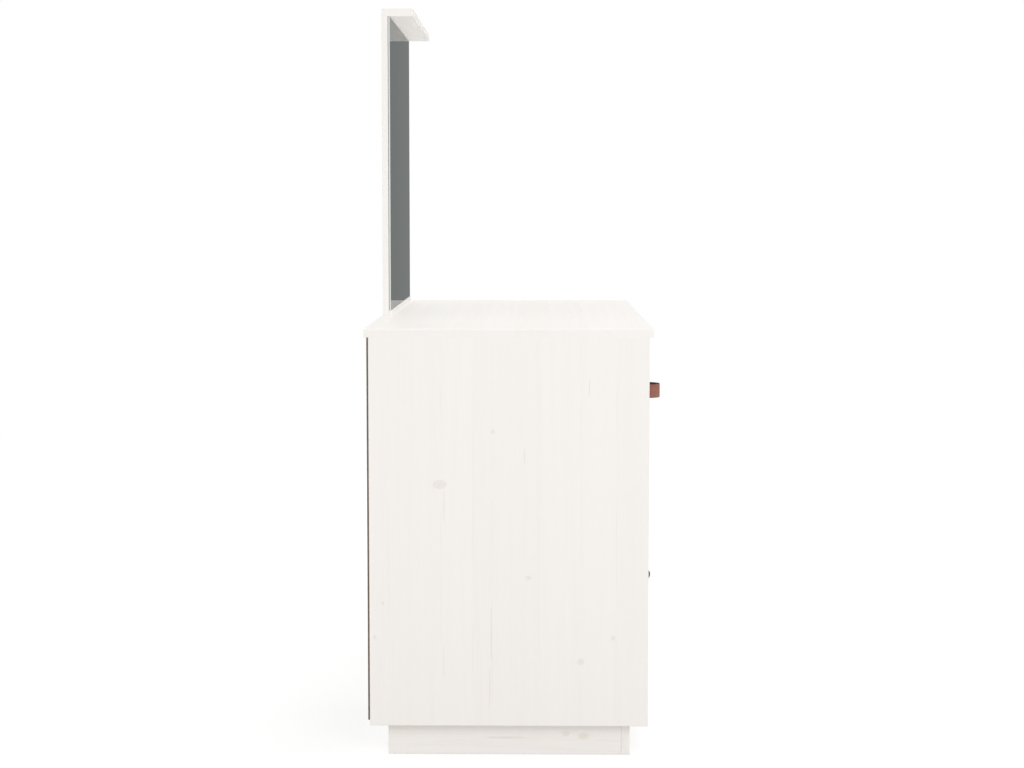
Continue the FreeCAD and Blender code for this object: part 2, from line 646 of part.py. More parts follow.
# Fixings of the mirror: screws up through the tabletop, and dowels below the top board.
mirror_screws = []
for x in ("mirror_left + mirror_screw_inset", "mirror_middle", "mirror_right - mirror_screw_inset"):
    mirror_screws.append(wood_screw((x, "mirror_core", "under_top"), "+Z", "board + mirror_screw_grip",
                                    ["tabletop", "mirror_back_board"]))
group("mirror_screws", mirror_screws)
mirror_dowels = []
for x in ("mirror_left + mirror_dowel_inset", "mirror_middle", "mirror_right - mirror_dowel_inset"):
    seat = (x, "mirror_core", "mirror_top")
    mirror_dowels.append(dowel(seat, "+Z", "mirror_back_board", "mirror_top_board", "slim_dowel_radius"))
group("mirror_dowels", mirror_dowels)

# Shelf supports: a flat tongue below the shelf, on a pin in the wall.
supports = []
SUPPORT_WALLS = (
    ("bay_left", "bay_left", "bay_left + support_reach", "-X", "left_side_panel"),
    ("bay_right", "bay_right - support_reach", "bay_right", "+X", "pedestal_partition"),
)
for wall, low_x, high_x, outer, panel in SUPPORT_WALLS:
    for y in ("fronts_back + shelf_front_gap + support_inset", "panel_back - shelf_gap - support_inset"):
        tongue = block("support_tongue", (low_x, f"{y} - support_width / 2", "shelf_height - support_thick"),
                       (high_x, f"{y} + support_width / 2", "shelf_height"))
        seat = (wall, y, "shelf_height - support_thick / 2")
        core = rod("support_core", seat, outer, "-support_reach / 2", "support_reach / 2 + support_pin_depth",
                   "support_thick / 2")
        pin = rod("support_pin", seat, outer, "0", "support_pin_depth", "support_pin")
        cuts[panel].append(rod("support_hole", seat, outer, "-end_gap", "support_pin_depth + 2 * end_gap",
                               "support_pin + fit_gap"))
        supports.append(joined("shelf_support", [tongue, core, pin]))
group("shelf_supports", supports)


def runner(node, points, wall, inner, back):
    """Length of bent sheet. Its section is given from the wall inwards and from the roller axis up."""
    sign = "" if inner == "+X" else "-"
    mirrored = [(across if across == "0" else f"{sign}({across})", up) for across, up in points]
    body = extruded(node, "XZ_Plane", mirrored, "runner_length")
    put(body, (wall, back, "roller_z"))
    finish(node, body)
    return body


def roller(node, at, axis):
    """Plain nylon roller on an axle."""
    bore = "axle_radius + axle_gap"
    body = turned(node, [
        (bore, "0"),
        ("roller_radius - roller_chamfer", "0"),
        ("roller_radius", "roller_chamfer"),
        ("roller_radius", "roller_width - roller_chamfer"),
        ("roller_radius - roller_chamfer", "roller_width"),
        (bore, "roller_width"),
    ])
    put(body, along(at, axis, "roller_side_gap"), axis)
    finish(node, body)


def axle(at, axis):
    """Riveted axle whose head keeps a roller on."""
    length = "roller_width + 2 * roller_side_gap"
    pin = rod("axle_pin", at, axis, "0", f"{length} + axle_head", "axle_radius")
    return joined("axle", [pin, rod("axle_head", at, axis, length, "axle_head", "axle_head_radius")])


# Roller runners. The cabinet's channel carries a roller at its front, below the drawer's track, and
# the drawer's runner carries a roller at its rear, which runs inside the channel.
track_under = "roller_radius + run_gap"
channel_under = "-roller_radius - run_gap - runner_sheet"
channel_top = "roller_radius + run_gap + 2 * runner_sheet + track_room"
CHANNEL = [
    ("0", channel_under),
    ("runner_flange", channel_under),
    ("runner_flange", f"{channel_under} + runner_sheet"),
    ("runner_sheet", f"{channel_under} + runner_sheet"),
    ("runner_sheet", f"{channel_top} - runner_sheet"),
    ("runner_flange", f"{channel_top} - runner_sheet"),
    ("runner_flange", channel_top),
    ("0", channel_top),
]
TRACK = [
    ("runner_gap + runner_foot", "-roller_rise - runner_sheet"),
    ("runner_gap + runner_foot", "-roller_rise"),
    ("runner_gap", "-roller_rise"),
    ("runner_gap", f"{track_under} + runner_sheet"),
    ("track_start", f"{track_under} + runner_sheet"),
    ("track_start", track_under),
    ("runner_gap - runner_sheet", track_under),
    ("runner_gap - runner_sheet", "-roller_rise - runner_sheet"),
]
RUNNER_SIDES = {
    "left": ("bay_left", "+X", "left_side_panel", "drawer_side_left"),
    "right": ("bay_right", "-X", "pedestal_partition", "drawer_side_right"),
}
cabinet_axles = []
drawer_axles = []
cabinet_screws = []
drawer_screws = []
for side, (wall, inner, panel, drawer_side) in RUNNER_SIDES.items():
    outer = MIRRORED[inner]
    channel = f"cabinet_runner_{side}"
    track = f"drawer_runner_{side}"
    runner(f"{channel}_blank", CHANNEL, wall, inner, "cabinet_runner_back")
    runner(f"{track}_blank", TRACK, wall, inner, "drawer_runner_back")
    web = along((wall, "front_roller_y", "roller_z"), inner, "runner_sheet")
    roller(f"front_roller_{side}", web, inner)
    cabinet_axles.append(axle(web, inner))
    drawer_web = along((wall, "rear_roller_y", "roller_z"), inner, "runner_gap - runner_sheet")
    roller(f"rear_roller_{side}", drawer_web, outer)
    drawer_axles.append(axle(drawer_web, outer))
    cuts[channel] = []
    cuts[track] = []
    grip = "runner_sheet + runner_screw_length"
    for step in ("runner_screw_inset", "runner_length / 2", "runner_length - runner_screw_inset"):
        seat = along((wall, f"cabinet_runner_front + {step}", "roller_z"), inner, "runner_sheet")
        cabinet_screws.append(pan_screw(seat, outer, grip, [channel, panel]))
        seat = along((wall, f"drawer_runner_front + {step}", "roller_z"), inner, "runner_gap - runner_sheet")
        drawer_screws.append(pan_screw(seat, inner, grip, [track, drawer_side]))
    for node in (channel, track):
        finish(node, without(node, finished.pop(f"{node}_blank"), cuts[node]))
group("cabinet_roller_axles", cabinet_axles)
group("drawer_roller_axles", drawer_axles)
group("cabinet_runner_screws", cabinet_screws)
group("drawer_runner_screws", drawer_screws)

# Fixings of the drawer box.
drawer_dowels = []
back_end_screws = []
SIDE_ENDS = (
    ("box_left + drawer_wall / 2", "box_left", "+X", "drawer_side_left"),
    ("box_right - drawer_wall / 2", "box_right", "-X", "drawer_side_right"),
)
for centre, face, inner, node in SIDE_ENDS:
    for z in ("box_low + drawer_joint_low", "box_high - drawer_joint_high"):
        front_joint = (centre, "fronts_back", z)
        drawer_dowels.append(dowel(front_joint, "-Y", node, "drawer_front", "slim_dowel_radius"))
        back_joint = (face, "box_back - drawer_wall / 2", z)
        back_end_screws.append(wood_screw(back_joint, inner, "drawer_screw_length", [node, "drawer_back"]))
group("drawer_dowels", drawer_dowels)
group("drawer_back_screws", back_end_screws)
floor_screws = []
for x in ("(box_left + bay_middle) / 2", "(bay_middle + box_right) / 2"):
    seat = (x, "box_back - drawer_wall / 2", "floor_low")
    floor_screws.append(pan_screw(seat, "+Z", "drawer_floor + back_screw_length",
                                  ["drawer_bottom_panel", "drawer_back"]))
group("drawer_bottom_screws", floor_screws)


def strap_shape():
    """Leather strap in plan: two flat tabs, and a bow between them on tangent arcs, cut to height."""
    thick = value("strap_thick")
    half_span = value("strap_span") / 2
    tab_end = half_span + value("strap_tab")
    bend = value("strap_bend")
    rise = value("handle_reach") - thick
    both_radii = (half_span ** 2 + rise ** 2) / (2 * rise)
    bow = both_radii - bend
    turn = math.acos((both_radii - rise) / both_radii)
    bend_centre = FreeCAD.Vector(half_span, thick / 2 + bend, 0)
    bow_centre = FreeCAD.Vector(0, thick / 2 + rise - bow, 0)

    def at(centre, radius, angle):
        return centre + FreeCAD.Vector(radius * math.sin(angle), radius * math.cos(angle), 0)

    def face_edges(offset):
        """One face of the strap, from the left tab's end to the right one, at an offset from its middle."""
        low = thick / 2 + offset
        outer = bow + offset
        inner = bend - offset
        half_turn = math.pi - turn / 2
        join = at(bow_centre, outer, turn)
        knee = at(bend_centre, inner, -half_turn)
        foot = FreeCAD.Vector(half_span, low, 0)
        crown = at(bow_centre, outer, 0)
        left = [FreeCAD.Vector(-point.x, point.y, 0) for point in (join, knee, foot)]
        return [
            Part.LineSegment(FreeCAD.Vector(-tab_end, low, 0), left[2]).toShape(),
            Part.Arc(left[2], left[1], left[0]).toShape(),
            Part.Arc(left[0], crown, join).toShape(),
            Part.Arc(join, knee, foot).toShape(),
            Part.LineSegment(foot, FreeCAD.Vector(tab_end, low, 0)).toShape(),
        ]

    inside = face_edges(-thick / 2)
    outside = face_edges(thick / 2)
    ends = []
    for side in (-1, 1):
        corner = FreeCAD.Vector(side * tab_end, 0, 0)
        ends.append(Part.LineSegment(corner, corner + FreeCAD.Vector(0, thick, 0)).toShape())
    rim = Part.Wire(Part.__sortEdges__(inside + outside + ends))
    return Part.Face(rim).extrude(FreeCAD.Vector(0, 0, value("strap_height")))


# Leather strap handle, bowed out of the drawer front, with a screw through each tab.
strap = doc.addObject("Part::Feature", "strap")
strap.Shape = strap_shape()
half_turn_about_z = FreeCAD.Rotation(DIRECTIONS["+Z"], 180)
strap.Placement = FreeCAD.Placement(FreeCAD.Vector(), half_turn_about_z)
strap_at = ("bay_middle", "front_y", "handle_z - strap_height / 2")
bind(strap, {f".Placement.Base.{letter}": words for letter, words in zip("xyz", strap_at)})
strap_screws = []
strap_holes = []
for side in ("-", "+"):
    x = f"bay_middle {side} (strap_span / 2 + strap_tab - strap_screw_inset)"
    seat = (x, "front_y - strap_thick", "handle_z")
    length = "strap_thick + strap_screw_length"
    hole = rod("strap_hole", seat, "+Y", "-fit_gap", f"{length} + fit_gap + end_gap",
               "screw_radius + fit_gap")
    strap_holes.append(hole)
    cuts["drawer_front"].append(hole)
    head = taper("strap_screw_head", seat, "+Y", "-strap_screw_head", "strap_screw_head",
                 "head_crown * strap_screw_head_radius", "strap_screw_head_radius")
    shank = rod("strap_shank", seat, "+Y", "0", length, "screw_radius")
    strap_screws.append(joined("strap_screw", [head, shank]))
finish("handle_strap", without("handle_strap", strap, strap_holes))
group("handle_screws", strap_screws)

# Cupboard door: its hinge edge is a half round about the pivot pins, so that it turns inside its gap.
leaf = block("door_leaf", ("pivot_x", "front_y", "door_low"), ("door_right", "fronts_back", "door_high"))
edge = rod("door_edge", ("pivot_x", "pivot_y", "door_low"), "+Z", "0", "door_high - door_low",
           "board / 2")
door_blank = joined("door_blank", [leaf, edge])
door_blank.Refine = True
cuts["door_panel"] = []
pins = []
bushes = []
PIVOTS = (
    ("cupboard_floor", "-Z", "pedestal_bottom_board"),
    ("divider_under", "+Z", "drawer_divider"),
)
for z, axis, node in PIVOTS:
    seat = ("pivot_x", "pivot_y", z)
    reach = "pivot_depth + reveal"
    pins.append(rod("pivot_pin", seat, axis, f"-({reach})", f"{reach} + pivot_tail", "pivot_radius"))
    cuts["door_panel"].append(rod("pivot_hole", seat, axis, f"-({reach}) - end_gap", f"{reach} + end_gap",
                                  "pivot_radius + fit_gap"))
    bore = "pivot_radius + axle_gap"
    bush = turned("bush", [
        (bore, "-(reveal - run_gap)"),
        ("bush_flange_radius", "-(reveal - run_gap)"),
        ("bush_flange_radius", "0"),
        ("bush_radius", "0"),
        ("bush_radius", "bush_depth"),
        (bore, "bush_depth"),
    ])
    put(bush, seat, axis)
    bushes.append(bush)
    cuts[node].append(rod("bush_hole", seat, axis, "-end_gap", "bush_depth + 2 * end_gap",
                          "bush_radius + fit_gap"))
group("door_pivot_pins", pins)
group("pivot_bushes", bushes)

# Knob on the door, held by a machine screw from inside.
knob = turned("knob_blank", [
    ("0", "0"),
    ("knob_foot_radius", "0"),
    ("knob_neck_radius", "knob_reach - knob_head - knob_round"),
    ("knob_neck_radius", "knob_reach - knob_head"),
    ("knob_radius", "knob_reach - knob_head"),
    ("knob_radius", "knob_reach"),
    ("0", "knob_reach"),
])
for radius, height in (("knob_dome", "knob_reach"), ("knob_round", "knob_reach - knob_head")):
    doc.recompute()
    unrounded = knob.Tip
    rims = []
    for index, edge in enumerate(unrounded.Shape.Edges, start=1):
        middle = edge.CenterOfMass
        if edge.isClosed() and abs(middle.z - value(height)) < TOUCHING:
            if abs(edge.BoundBox.XMax - value("knob_radius")) < TOUCHING:
                rims.append(f"Edge{index}")
    knob_fillet = knob.newObject("PartDesign::Fillet", f"{radius}_rounding")
    knob_fillet.Base = (unrounded, rims)
    bind(knob_fillet, {"Radius": radius})
    knob.Tip = knob_fillet
put(knob, ("knob_x", "front_y", "knob_height"), "-Y")
knob_seat = ("knob_x", "fronts_back", "knob_height")
knob_length = "board + knob_screw_depth"
knob_hole = rod("knob_screw_hole", knob_seat, "-Y", "-fit_gap", f"{knob_length} + fit_gap + end_gap",
                "wood_screw_radius + fit_gap")
cuts["door_panel"].append(knob_hole)
finish("door_knob", without("door_knob", knob, [knob_hole]))
knob_head_disc = taper("knob_screw_head", knob_seat, "-Y", "-wood_screw_head", "wood_screw_head",
                       "head_crown * wood_screw_head_radius", "wood_screw_head_radius")
knob_shank = rod("knob_screw_shank", knob_seat, "-Y", "0", knob_length, "wood_screw_radius")
finish("knob_screw", joined("knob_screw", [knob_head_disc, knob_shank]))

# Magnetic catch below the divider, and the steel plate on the door that it holds.
catch_back = "catch_front + catch_depth"
catch_half = "catch_width / 2"
case = block("catch_case", (f"catch_x - {catch_half}", "catch_front", "divider_under - catch_height"),
             (f"catch_x + {catch_half}", catch_back, "divider_under"))
ears = block("catch_ears",
             (f"catch_x - {catch_half} - catch_ear", "catch_front", "divider_under - catch_ear_thick"),
             (f"catch_x + {catch_half} + catch_ear", catch_back, "divider_under"))
catch_blank = joined("catch_blank", [case, ears])
cuts["door_catch"] = []
catch_screws = []
for side in ("-", "+"):
    x = f"catch_x {side} ({catch_half} + catch_ear / 2)"
    seat = (x, "catch_front + catch_depth / 2", "divider_under - catch_ear_thick")
    catch_screws.append(pan_screw(seat, "+Z", "catch_ear_thick + runner_screw_length",
                                  ["door_catch", "drawer_divider"]))
group("catch_screws", catch_screws)
finish("door_catch", without("door_catch", catch_blank, cuts["door_catch"]))
plate = block("plate_blank",
              ("catch_x - plate_width / 2", "fronts_back", "door_high - end_gap - plate_height"),
              ("catch_x + plate_width / 2", "fronts_back + plate_thick", "door_high - end_gap"))
plate_seat = ("catch_x", "fronts_back + plate_thick", "door_high - end_gap - plate_height / 2")
plate_hole = rod("plate_screw_hole", plate_seat, "-Y", "-fit_gap",
                 "plate_thick + runner_screw_length + fit_gap + end_gap", "screw_radius + fit_gap")
plate_sink = taper("plate_sink", plate_seat, "-Y", "0", "plate_thick",
                   "screw_head_radius + fit_gap", "screw_radius + fit_gap")
cuts["door_panel"].append(plate_hole)
finish("catch_plate", without("catch_plate", plate, [plate_hole, plate_sink]))
plate_head = taper("plate_screw_head", plate_seat, "-Y", "0", "plate_thick", "screw_head_radius",
                   "screw_radius")
plate_shank = rod("plate_screw_shank", plate_seat, "-Y", "0", "plate_thick + runner_screw_length",
                  "screw_radius")
finish("catch_plate_screw", joined("catch_plate_screw", [plate_head, plate_shank]))
finish("door_panel", without("door_panel", door_blank, cuts["door_panel"]))

round_boards()
drill_boards()
doc.recompute()

for thing in doc.Objects:
    if "Invalid" in thing.State or "Error" in thing.State:
        raise RuntimeError(f"{thing.Label} failed: {thing.State}")
for node, thing in finished.items():
    if thing.Shape.isNull() or not thing.Shape.isValid():
        raise RuntimeError(f"{node} has no valid shape")

os.makedirs("parts", exist_ok=True)
for node, thing in finished.items():
    thing.Shape.exportStep(f"parts/{node}.step")
    print(f"{node}: {len(thing.Shape.Solids)} solids, {thing.Shape.Volume:.0f} mm3")
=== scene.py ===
# %% [markdown]
# # A white pine dressing table
#
# The frame is a packed model of the table: boards, runners, screws, mirror, all at their real size in
# metres. This lesson gives each of them its finish and makes the few pieces whose look needs a finer
# shape: the leather strap and the screws. The frame comes first, because every later cell measures it.

# %% Load the frame
import math

import bmesh
import bpy
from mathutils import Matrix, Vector


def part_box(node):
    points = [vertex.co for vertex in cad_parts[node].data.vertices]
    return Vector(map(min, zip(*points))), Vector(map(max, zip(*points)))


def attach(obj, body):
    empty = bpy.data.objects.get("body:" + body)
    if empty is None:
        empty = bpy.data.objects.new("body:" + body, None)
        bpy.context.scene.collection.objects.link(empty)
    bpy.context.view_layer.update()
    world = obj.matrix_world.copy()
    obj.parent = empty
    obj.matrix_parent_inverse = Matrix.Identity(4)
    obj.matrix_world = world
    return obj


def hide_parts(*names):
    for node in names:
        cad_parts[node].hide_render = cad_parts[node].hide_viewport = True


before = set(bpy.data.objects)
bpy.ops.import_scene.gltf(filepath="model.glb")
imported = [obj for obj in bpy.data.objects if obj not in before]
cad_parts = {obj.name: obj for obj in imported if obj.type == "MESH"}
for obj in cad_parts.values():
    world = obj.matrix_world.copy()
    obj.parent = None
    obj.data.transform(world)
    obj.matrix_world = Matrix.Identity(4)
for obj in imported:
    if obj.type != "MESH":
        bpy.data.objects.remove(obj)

scene = bpy.context.scene
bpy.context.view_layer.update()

# %% [markdown]
# ## The camera
#
# The table is seen from its left, along its width, from a little above the tabletop. A real
# photographer would level the camera and shift the lens so that the sides stay upright. A large shift
# would push the table out of the frame in the other views, so here most of it is a slight tilt.

# %% Camera at the photograph's place
IMAGE_WIDTH = 1024
SENSOR_WIDTH = 36.0
CAMERA_PLACE = Vector((-3.6759, -0.0343, 0.9644))
CAMERA_AIM = Vector((0.0, 0.0113, 0.7041))
CAMERA_LENS = 65.69
LENS_SHIFT_PIXELS = -48

camera = bpy.data.objects.new("camera", bpy.data.cameras.new("camera"))
scene.collection.objects.link(camera)
camera.location = CAMERA_PLACE
camera.rotation_mode = "QUATERNION"
camera.rotation_quaternion = (CAMERA_AIM - CAMERA_PLACE).to_track_quat("-Z", "Y")
camera.data.sensor_width = SENSOR_WIDTH
camera.data.lens = CAMERA_LENS
camera.data.shift_y = LENS_SHIFT_PIXELS / IMAGE_WIDTH
bpy.context.scene.camera = camera
print("camera", round((CAMERA_AIM - CAMERA_PLACE).length, 2), "m from the table's middle")

# %% [markdown]
# ## Wires: shader maths as plain expressions
#
# A finish in Blender is a tree of nodes. Each node and link could be added line by line, but a tree is
# easier to read as arithmetic. A wire holds one socket. Adding or multiplying wires adds Math nodes,
# and one method adds any other node. The same class builds the geometry tree of the screws below.

# %% The wire class
def pick(sockets, key):
    """A socket by its place in the list, or the first one in use by its name."""
    if isinstance(key, int):
        return sockets[key]
    return next(socket for socket in sockets if socket.name == key and socket.enabled)


class Wire:
    """One socket of a node tree, which arithmetic and other nodes can be joined to."""

    def __init__(self, tree, socket=None):
        self.tree = tree
        self.socket = socket

    def node(self, kind, settings=None, sockets=None, out=0):
        """Add a node: its type, its settings, what feeds its sockets, and the output to hand back."""
        made = self.tree.nodes.new(kind)
        for name, setting in (settings or {}).items():
            setattr(made, name, setting)
        for name, feed in (sockets or {}).items():
            self.feed(pick(made.inputs, name), feed)
        return Wire(self.tree, pick(made.outputs, out))

    def feed(self, socket, feed):
        """Join a wire or several to a socket, or set the socket's own value."""
        if isinstance(feed, list):
            for one in feed:
                self.feed(socket, one)
        elif isinstance(feed, Wire):
            self.tree.links.new(feed.socket, socket)
        elif socket.type == "RGBA":
            socket.default_value = (*feed, 1)
        else:
            socket.default_value = feed

    def math(self, operation, *values):
        """A Math node, for the operators below and for what has no operator."""
        return self.node("ShaderNodeMath", {"operation": operation}, dict(enumerate(values)))

    def __add__(self, other):
        return self.math("ADD", self, other)

    def __radd__(self, other):
        return self.math("ADD", other, self)

    def __sub__(self, other):
        return self.math("SUBTRACT", self, other)

    def __rsub__(self, other):
        return self.math("SUBTRACT", other, self)

    def __mul__(self, other):
        return self.math("MULTIPLY", self, other)

    def __rmul__(self, other):
        return self.math("MULTIPLY", other, self)

    def __truediv__(self, other):
        return self.math("DIVIDE", self, other)

    def __pow__(self, other):
        return self.math("POWER", self, other)

    def axis(self, letter):
        """One coordinate of a vector."""
        return self.node("ShaderNodeSeparateXYZ", None, {0: self}, letter)

    def channel(self, name):
        """Red, Green or Blue of a colour."""
        return self.node("ShaderNodeSeparateColor", None, {0: self}, name)

    def length(self):
        """Length of a vector."""
        return self.node("ShaderNodeVectorMath", {"operation": "LENGTH"}, {0: self}, "Value")

    def point(self, x, y, z):
        """A vector from three numbers or wires."""
        return self.node("ShaderNodeCombineXYZ", None, {0: x, 1: y, 2: z})

    def noise(self, scale, detail=3.0, roughness=0.5):
        """Soft noise between 0 and 1 at this wire's coordinates."""
        sockets = {"Vector": self, "Scale": scale, "Detail": detail, "Roughness": roughness}
        return self.node("ShaderNodeTexNoise", None, sockets)

    def cells(self, out, scale=1.0, dimensions="2D", feature="F1", **sockets):
        """One output of a cell pattern at this wire's coordinates."""
        settings = {"voronoi_dimensions": dimensions, "feature": feature}
        place = "W" if dimensions == "1D" else "Vector"
        return self.node("ShaderNodeTexVoronoi", settings, {place: self, "Scale": scale, **sockets}, out)

    def smooth(self, low, high):
        """A soft step: 0 up to low and 1 from high on, or the other way where high is the smaller."""
        if low < high:
            limits = {"From Min": low, "From Max": high}
        else:
            limits = {"From Min": high, "From Max": low, "To Min": 1.0, "To Max": 0.0}
        settings = {"interpolation_type": "SMOOTHSTEP"}
        return self.node("ShaderNodeMapRange", settings, {"Value": self, **limits})

    def mix(self, first, second):
        """A colour between two others, with this wire as the share of the second."""
        sockets = {"Factor": self, "A": first, "B": second}
        return self.node("ShaderNodeMix", {"data_type": "RGBA"}, sockets, "Result")


print("a wire has:", [name for name in vars(Wire) if not name.startswith("_")])

# %% [markdown]
# Three helpers start a finish, set its shader and give it relief. A pattern needs coordinates, and
# these finishes read Object coordinates: they are metres on the table, so that a pattern keeps its
# real scale on every board, with no need to unfold the boards into a UV map.

# %% Finish helpers
def new_finish(name):
    """A material, and the wire of the Object coordinates in its tree."""
    finish = bpy.data.materials.new(name)
    finish.use_nodes = True
    place = Wire(finish.node_tree).node("ShaderNodeTexCoord", None, None, "Object")
    return finish, place


def shade(finish, **values):
    """Set or feed the shader's sockets. Underscores in a name stand for spaces."""
    shader = finish.node_tree.nodes["Principled BSDF"]
    wire = Wire(finish.node_tree)
    for name, value in values.items():
        wire.feed(shader.inputs[name.replace("_", " ")], value)


def bump(height, distance, strength=1.0):
    """A normal that follows a height between 0 and 1, where 1 stands for a distance in metres."""
    sockets = {"Strength": strength, "Distance": distance, "Height": height}
    return height.node("ShaderNodeBump", None, sockets, "Normal")


print("materials that came with the frame:", len(bpy.data.materials))

# %% [markdown]
# ## Studio light
#
# The table stands in a white studio. A picture of a real studio could light it, but a white world and
# a few lamps can be read and changed in the script. The world is white where it is seen, plainly or in
# metal, and a little dimmer where it only casts light, so that white paint keeps its colour. Broad
# lamps on all sides add some shape. A small one near the floor, with a narrow beam, reaches the
# underside of the board on top of the mirror, as a photographer's reflector would.

# %% World
WORLD_STRENGTH = 0.80


def seen_rays(wire):
    """1 where a surface is seen, plainly or in a reflection, and 0 where it only casts light."""
    rays = [wire.node("ShaderNodeLightPath", None, None, name)
            for name in ("Is Camera Ray", "Is Glossy Ray", "Is Transmission Ray")]
    return wire.math("MAXIMUM", wire.math("MAXIMUM", rays[0], rays[1]), rays[2])


scene.view_settings.view_transform = "Standard"
scene.world = bpy.data.worlds.new("studio")
scene.world.use_nodes = True
background = scene.world.node_tree.nodes["Background"]
sky = Wire(scene.world.node_tree)
sky.feed(background.inputs["Color"], (1.0, 1.0, 1.0))
sky.feed(background.inputs["Strength"], WORLD_STRENGTH + seen_rays(sky) * (1 - WORLD_STRENGTH))
print("light cast by the world:", WORLD_STRENGTH)

# %% Lamps
LAMP_AIM = (0.0, 0.0, 0.55)
OPEN_SPREAD = 180
LAMPS = {
    "left": {"place": (-3.8, -1.0, 2.7), "size": 2.4, "watts": 47},
    "front": {"place": (0.6, -4.0, 0.6), "size": 2.4, "watts": 19},
    "back": {"place": (0.0, 4.0, 1.6), "size": 2.4, "watts": 26},
    "right": {"place": (4.0, 0.4, 1.8), "size": 2.4, "watts": 22},
    "top": {"place": (1.8, -0.8, 3.9), "size": 3.0, "watts": 25},
    "low": {"place": (0.2, -1.6, 0.05), "size": 0.5, "watts": 0.2, "aim": (0.2, 0.2, 1.33), "spread": 30},
}

for name, lamp in LAMPS.items():
    light = bpy.data.lights.new(f"{name}_lamp", "AREA")
    light.shape = "DISK"
    light.size = lamp["size"]
    light.energy = lamp["watts"]
    light.spread = math.radians(lamp.get("spread", OPEN_SPREAD))
    holder = bpy.data.objects.new(f"{name}_lamp", light)
    scene.collection.objects.link(holder)
    holder.location = lamp["place"]
    holder.rotation_mode = "QUATERNION"
    beam = Vector(lamp.get("aim", LAMP_AIM)) - holder.location
    holder.rotation_quaternion = beam.to_track_quat("-Z", "Y")
    holder.visible_camera = False
    holder.visible_glossy = False
print("lamps in watts:", {name: lamp["watts"] for name, lamp in LAMPS.items()})

# %% [markdown]
# ## Floor
#
# A white floor under white light comes out grey beside a white world, so this one glows by itself, and
# only the rest of its white is plain paint, which keeps the table's shadow. Far out the paint fades
# into the glow, so that no horizon shows. The light that it throws back at the table is set lower
# close by, where a real floor lies in the table's shade.

# %% Floor
FLOOR_HALF = 14.0
FLOOR_DROP = 0.0004
GLOW_SEEN_NEAR = (0.67, 0.67, 0.67)
GLOW_SEEN_FAR = (1.0, 1.0, 1.0)
GLOW_CAST_NEAR = (0.38, 0.38, 0.38)
GLOW_CAST_FAR = (0.58, 0.58, 0.58)
PAINT_NEAR = (0.36, 0.36, 0.36)
PAINT_FAR = (0.0, 0.0, 0.0)
CAST_FADE = (0.6, 2.2)
PAINT_FADE = (1.6, 4.5)


def mesh_object(name, corners, faces):
    """A new mesh object in the scene."""
    mesh = bpy.data.meshes.new(name)
    mesh.from_pydata(corners, [], faces)
    made = bpy.data.objects.new(name, mesh)
    scene.collection.objects.link(made)
    return made


quarters = ((-1, -1), (1, -1), (1, 1), (-1, 1))
floor = mesh_object("floor", [(x * FLOOR_HALF, y * FLOOR_HALF, -FLOOR_DROP) for x, y in quarters],
                    [(0, 1, 2, 3)])
floor_finish, ground = new_finish("studio_floor")
away = ground.length().smooth(*PAINT_FADE)
cast = ground.length().smooth(*CAST_FADE).mix(GLOW_CAST_NEAR, GLOW_CAST_FAR)
glow = seen_rays(ground).mix(cast, away.mix(GLOW_SEEN_NEAR, GLOW_SEEN_FAR))
glow = ground.node("ShaderNodeEmission", None, {"Color": glow, "Strength": 1.0})
paint = ground.node("ShaderNodeBsdfDiffuse", None, {"Color": away.mix(PAINT_NEAR, PAINT_FAR)})
white = ground.node("ShaderNodeAddShader", None, {0: glow, 1: paint})
ground.feed(floor_finish.node_tree.nodes["Material Output"].inputs["Surface"], white)
floor.data.materials.append(floor_finish)
print("floor:", 2 * FLOOR_HALF, "m wide")

# %% [markdown]
# ## Flats for the mirror
#
# A mirror in an all-white room would look like white paint, so a photographer stands grey flats round
# the set. Here they are one ring that only reflections see. Its top fades to white, because the
# tabletop's faint gloss would otherwise turn grey. Where the mirror throws light on the wood, the ring
# counts as bright, in place of the lamps, which the mirror doesn't show.

# %% Flats
FLAT_RADIUS = 6.0
FLAT_HEIGHT = 3.2
FLAT_FADE = 2.0
FLAT_SIDES = 48
FLAT_LOW = (0.390, 0.408, 0.402)
FLAT_HIGH = (0.97, 0.98, 0.98)
FLAT_CAST = (2.4, 2.4, 2.4)

turns = [2 * math.pi * i / FLAT_SIDES for i in range(FLAT_SIDES)]
ring = [(FLAT_RADIUS * math.cos(turn), FLAT_RADIUS * math.sin(turn)) for turn in turns]
sides = [(i, (i + 1) % FLAT_SIDES) for i in range(FLAT_SIDES)]
flats = mesh_object("flats", [(x, y, z) for z in (0.0, FLAT_HEIGHT) for x, y in ring],
                    [(i, j, FLAT_SIDES + j, FLAT_SIDES + i) for i, j in sides])
flat_finish, flat_place = new_finish("studio_flats")
flat_tone = flat_place.axis("Z").smooth(FLAT_FADE, FLAT_HEIGHT).mix(FLAT_LOW, FLAT_HIGH)
bounces = flat_place.node("ShaderNodeLightPath", None, None, "Diffuse Depth")
flat_tone = bounces.math("MINIMUM", bounces, 1.0).mix(flat_tone, FLAT_CAST)
flat_glow = flat_place.node("ShaderNodeEmission", None, {"Color": flat_tone, "Strength": 1.0})
flat_place.feed(flat_finish.node_tree.nodes["Material Output"].inputs["Surface"], flat_glow)
flats.data.materials.append(flat_finish)
flats.visible_camera = False
flats.visible_diffuse = False
flats.visible_shadow = False
flats.visible_transmission = False
print("flats:", FLAT_SIDES, "sides,", FLAT_RADIUS, "m away")

# %% [markdown]
# ## Painted pine: knots
#
# The boards are pine staves glued edge to edge, under a thin white paint that lets a little of the
# wood through: fine growth lines along the fibres, faint seams, small knots. An image of wood would
# repeat and stretch, so all of it is made from noise and cell patterns. Knots come first, because the
# growth lines bend round them. Most boards get scattered knots, one at most in each cell of a pattern.
# Where the real places are known, each mark is an ellipse of its own.

